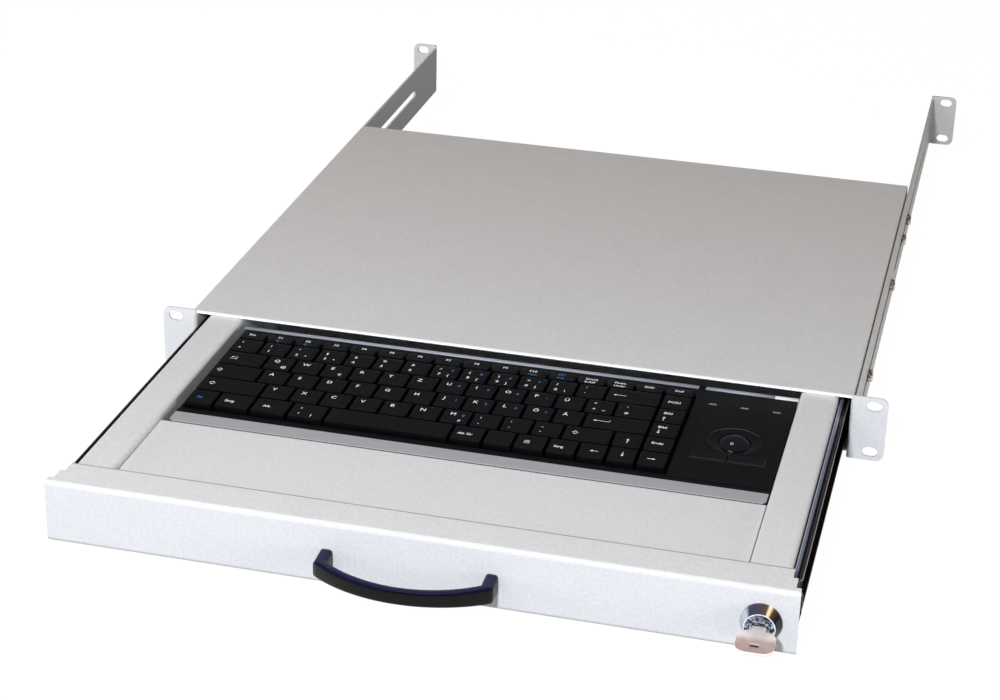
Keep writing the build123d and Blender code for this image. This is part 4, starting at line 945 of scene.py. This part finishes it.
def number(shifted, text, third="", blue=""):
    """Number key: shifted sign above the number, a third sign low on the right, a blue one above it."""
    marks = [(shifted, small, (0.24, 0.64), white_ink), (text, small * 1.1, (0.24, 0.22), white_ink)]
    if third:
        marks.append((third, small, (0.62, 0.18), white_ink))
    if blue:
        marks.append((blue, small, (0.68, 0.6), blue_ink))
    return marks


def word(text, size=small, place=(0.2, 0.42), colour=white_ink):
    """Key that says a word, or has one sign."""
    return [(text, size, place, colour)]


function_row = [word("Esc", tiny, (0.3, 0.55))]
function_row += [word(f"F{i}", tiny, (0.36, 0.6)) + word("|||", tiny * 0.8, (0.36, 0.16), blue_ink)
                 for i in (1, 2)]
function_row += [word(f"F{i}", tiny, (0.38, 0.58)) for i in range(3, 10)]
function_row += [word("F10", tiny, (0.3, 0.6)) + word("Num", tiny * 0.85, (0.3, 0.14), blue_ink),
                 word("F11", tiny, (0.3, 0.6), blue_ink) + word("F12", tiny * 0.85, (0.3, 0.14), blue_ink),
                 word("Druck", tiny * 0.92, (0.24, 0.56)) + word("S-Abf", tiny * 0.92, (0.24, 0.12)),
                 word("Pause", tiny * 0.92, (0.24, 0.56)) + word("Untbr", tiny * 0.92, (0.24, 0.12)),
                 word("Einfg", tiny, (0.26, 0.5)), word("Entf", tiny, (0.3, 0.5))]
number_row = [number("°", "^"), number("!", "1"), number('"', "2", "²"), number("§", "3", "³"), 
              number("$", "4"), number("%", "5"), number("&", "6"),
              number("/", "7", "{", "7"), number("(", "8", "[", "8"),
              number(")", "9", "]", "9"), number("=", "0", "}", "*"), number("?", "ß", "\\"),
              number("`", "´"),
              word("backspace", main, (0.16, 0.5)), word("POS1", small, (0.2, 0.42))]
top_row = [word("tab", small, (0.24, 0.5)), letter("Q", "@"), letter("W"), letter("E", "€"), letter("R"),
           letter("T"), letter("Z"), letter("U", blue="4"), letter("I", blue="5"), letter("O", blue="6"),
           letter("P", blue="-"), letter("Ü"), number("*", "+", "~"), number("'", "#"),
           word("Bild", small, (0.22, 0.62)) + word("up", main, (0.3, 0.3))]
home_row = [word("shift", wide, (0.16, 0.55)), *[letter(c) for c in "ASDFGH"], letter("J", blue="1"),
            letter("K", blue="2"), letter("L", blue="3"), letter("Ö", blue="+"), letter("Ä"),
            word("enter", main, (0.16, 0.55)),
            word("Bild", small, (0.22, 0.62)) + word("down", main, (0.3, 0.3))]
bottom_row = [word("shift", wide, (0.18, 0.55)), *[letter(c) for c in "YXCVBN"], letter("M", "µ", "0"),
              number(";", ","), number(":", "."), number("_", "-"), word("shift", wide, (0.22, 0.55)),
              word("up", main, (0.5, 0.5)), word("Ende", small, (0.22, 0.5))]
modifier_row = [word("Fn", small, (0.3, 0.4), blue_ink), word("Strg", small, (0.2, 0.4)),
                word("Alt", small, (0.26, 0.4)), number("\u203a", "\u2039", "|"), [],
                word("Alt Gr", small * 0.95, (0.16, 0.4)), [],
                word("menu", small, (0.36, 0.5)), word("Strg", small, (0.18, 0.4)),
                word("left", main, (0.5, 0.5)), word("down", main, (0.5, 0.5)),
                word("right", main, (0.5, 0.5))]
legend_rows = [function_row, number_row, top_row, home_row, bottom_row, modifier_row]
legends = [marks for row in legend_rows for marks in row]
print("legends", len(legends), "for", len(caps), "caps")

# %% [markdown]
# Signs
#
# Signs that the font has no letter for are built from the arrow and the hollow arrow above.

# %% Signs
def enter_sign(size):
    """Arrow to the left with its tail turned up at the end."""
    points, faces = arrow(90, size, 2.6)
    hook = np.array([(2.5, -0.055, 0), (2.6, -0.055, 0), (2.6, 0.5, 0), (2.5, 0.5, 0)]) * size
    return np.concatenate([points, hook]), faces + [[7, 8, 9, 10]]


def tab_sign(size):
    """Two arrows, one to each side, the upper to the left."""
    upper, faces = arrow(90, size, 1.4)
    lower, more = arrow(-90, size, 1.4)
    points = np.concatenate([upper + [0, 0.5 * size, 0], lower + [0.9 * size, -0.4 * size, 0]])
    return points, faces + [[i + len(upper) for i in face] for face in more]


def menu_sign(size):
    """Box with three lines in it, as a thin frame and three bars."""
    bars = [(-0.6, 0.6, 0.62, 0.74), (-0.6, 0.6, -0.74, -0.62), (-0.6, -0.48, -0.74, 0.74),
            (0.48, 0.6, -0.74, 0.74), (-0.35, 0.35, 0.3, 0.4), (-0.35, 0.35, 0.0, 0.1),
            (-0.35, 0.35, -0.3, -0.2)]
    points = [(x, y, 0) for a, b, c, d in bars for x, y in ((a, c), (b, c), (b, d), (a, d))]
    return np.array(points) * size, [list(range(i, i + 4)) for i in range(0, len(points), 4)]


signs = {"shift": shift_sign, "enter": enter_sign, "tab": tab_sign, "menu": menu_sign}
arrows = {"up": (0, 1.0), "down": (180, 1.0), "left": (90, 1.0), "right": (-90, 1.0), "backspace": (90, 1.9)}


def drawn(text, size):
    """Sign, arrow or word."""
    if text in signs:
        return signs[text](size)
    if text in arrows:
        angle, tail = arrows[text]
        return arrow(angle, size, tail)
    return letters(text, size)


# %% [markdown]
# Printing
#
# A legend is laid a few hundredths of a millimetre over the top of its cap, where a real ink film lies. All
# white marks of a node are one piece and all blue ones another, so they move with their keys.

# %% Print the legends
printed, ink_film = {}, 0.03 * MM
for (node, low, high), marks in zip(caps, legends):
    x0, y0 = low[0] + side_slope, low[1] + front_slope
    width, depth = high[0] - low[0] - 2 * side_slope, high[1] - low[1] - front_slope - back_slope
    for text, size, place, colour in marks:
        points, faces = drawn(text, size)
        points = points + [x0 + place[0] * width, y0 + place[1] * depth, key_top + ink_film]
        printed.setdefault((node, colour.name), []).append((points, faces))
for (node, colour), marks in printed.items():
    points, faces, count = [], [], 0
    for part, part_faces in marks:
        faces += [[i + count for i in face] for face in part_faces]
        points.append(part)
        count += len(part)
    data = bpy.data.meshes.new("legend")
    data.from_pydata(np.concatenate(points).tolist(), [], faces)
    shade = "white" if colour == white_ink.name else "blue"
    hang(data, f"{node}_{shade}_legend", node, bpy.data.materials[colour], replace=False)
print("printed", len(printed), "sets")

# %% [markdown]
# Floor
#
# The photograph is a product shot on white paper. A white plane would turn grey under these lamps, so most
# of what the camera and a mirroring metal see of it is glow. The rest is matt paper, which keeps the soft
# shadow.

# %% Floor
gap_below, paper_glow, glow_share = 1 * MM, 1.17, 0.84
floor_z = cad_box[0][2] - gap_below
bpy.ops.mesh.primitive_plane_add(size=30, location=(0, 0, floor_z))
floor = bpy.context.object
floor.name = "floor"
paper, tree, shader = start("white_paper_floor", "#8C8C8C", 0.9)
path = add(tree, "ShaderNodeLightPath").outputs
seen = add(tree, "ShaderNodeMath", {0: path["Is Camera Ray"], 1: path["Is Glossy Ray"]}, operation="MAXIMUM")
glow = add(tree, "ShaderNodeEmission", {"Color": (1, 1, 1, 1), "Strength": paper_glow})
share = add(tree, "ShaderNodeMath", {0: seen.outputs[0], 1: glow_share}, operation="MULTIPLY").outputs[0]
blend = add(tree, "ShaderNodeMixShader", {0: share, 1: shader.outputs[0], 2: glow.outputs[0]})
tree.links.new(blend.outputs[0], tree.nodes["Material Output"].inputs["Surface"])
floor.data.materials.append(paper)

# %% [markdown]
# World
#
# The world is white to the camera and through glass. Its light on the object is weak and warm, like the
# room that fills the shadows. A glossy ray sees it weaker still and bluish, because the metal in the
# photograph mirrors a dark room. So metal here shows the white floor, but no white walls.

# %% World
room_fill, room_mirrored = 0.15, 0.1
warm_room, blue_mirrored = (1.2, 0.98, 0.8, 1), (0.92, 0.95, 1.1, 1)
world = bpy.context.scene.world or bpy.data.worlds.new("studio")
bpy.context.scene.world = world
world.use_nodes = True
tree = world.node_tree
path = add(tree, "ShaderNodeLightPath").outputs
seen = add(tree, "ShaderNodeMath", {0: path["Is Camera Ray"], 1: path["Is Transmission Ray"]},
           operation="MAXIMUM").outputs[0]
dim = {"Value": path["Is Glossy Ray"], "To Min": room_fill, "To Max": room_mirrored}
strength = add(tree, "ShaderNodeMath", {0: seen, 1: add(tree, "ShaderNodeMapRange", dim).outputs[0]},
               operation="MAXIMUM")
room = {0: path["Is Glossy Ray"], 6: warm_room, 7: blue_mirrored}
bounce = add(tree, "ShaderNodeMix", room, data_type="RGBA").outputs[2]
tint = add(tree, "ShaderNodeMix", {0: seen, 6: bounce, 7: (1, 1, 1, 1)}, data_type="RGBA")
tree.links.new(strength.outputs[0], tree.nodes["Background"].inputs["Strength"])
tree.links.new(tint.outputs[2], tree.nodes["Background"].inputs["Color"])
print("world", room_fill, "to the object,", room_mirrored, "in reflections")

# %% [markdown]
# Lamps
#
# The light in the photograph is a small daylight flash above the camera. It fades with the square of the
# distance, so the panel's face is nearly white and the cover darkens to the back. A sun lamp would not
# fade. The weaker lamps stand for a window, a warm ceiling lamp and white cards. Their glints are in the
# painted metals already, so only one lamp is mirrored: it makes the glint on the trackball and lights
# nothing.

# %% Lamps
def lamp(name, place, target, size, power, colour=(1, 1, 1), mirrored=False, lit=True):
    """Round area lamp at a place, facing a target. It shows in reflections if mirrored, and lights if lit."""
    light = bpy.data.lights.new(name, "AREA")
    light.shape = "DISK"
    light.size = size
    light.energy = power
    light.color = colour
    holder = bpy.data.objects.new(name, light)
    holder.location = place
    holder.rotation_euler = (Vector(target) - Vector(place)).to_track_quat("-Z", "Y").to_euler()
    holder.visible_glossy = mirrored
    holder.visible_diffuse = lit
    bpy.context.scene.collection.objects.link(holder)


card_light = (0.95, 1.0, 1.06)
lamp("flash", (0.05, -1.5, 1.0), (0, -0.1, 0), 0.16, 25.8, (0.94, 1.0, 1.11))
lamp("window", (-0.7, -0.6, 0.9), (0, -0.1, 0), 0.5, 3.6)
lamp("ceiling", (-0.2, 0.1, 1.7), (0, 0.1, 0), 0.3, 2.4, (1.2, 0.98, 0.78))
lamp("lamp_spot", (-0.2, 0.1, 1.7), (0, 0.1, 0), 0.4, 4.6, mirrored=True, lit=False)
lamp("left_card", (-0.95, -0.5, 0.12), (-0.1, 0, 0), 0.3, 3.0, card_light)
lamp("right_card", (0.95, -0.5, 0.12), (0.1, 0, 0), 0.3, 3.1, card_light)
lamp("rear_card", (-0.7, 1.9, 0.0), (0, 0.4, 0), 0.4, 9.0, (0.92, 1.0, 1.12))
print("lamps", len(bpy.data.lights))

# %% [markdown]
# Camera
#
# The lens and place were worked out from the rack standard: the slots of the ears and the corners of the
# panel have known places, and one camera fits them all to about a pixel. Trying by eye would not come as
# near.

# %% Camera
camera_place = (0.3049, -1.3010, 0.6554)
azimuth, pitch, roll = radians(-13.57), radians(25.34), radians(1.52)
focal_length, film_width = 82.44, 36
forward = Vector((sin(azimuth) * cos(pitch), cos(azimuth) * cos(pitch), -sin(pitch)))
right = Vector((cos(azimuth), -sin(azimuth), 0))
up = right.cross(forward)
right, up = cos(roll) * right + sin(roll) * up, -sin(roll) * right + cos(roll) * up
lens = bpy.data.cameras.new("camera")
lens.lens = focal_length
lens.sensor_width = film_width
camera = bpy.data.objects.new("camera", lens)
camera.matrix_world = Matrix.Translation(camera_place) @ Matrix((right, up, -forward)).transposed().to_4x4()
bpy.context.scene.collection.objects.link(camera)
bpy.context.scene.camera = camera
bpy.context.scene.view_settings.view_transform = "Standard"
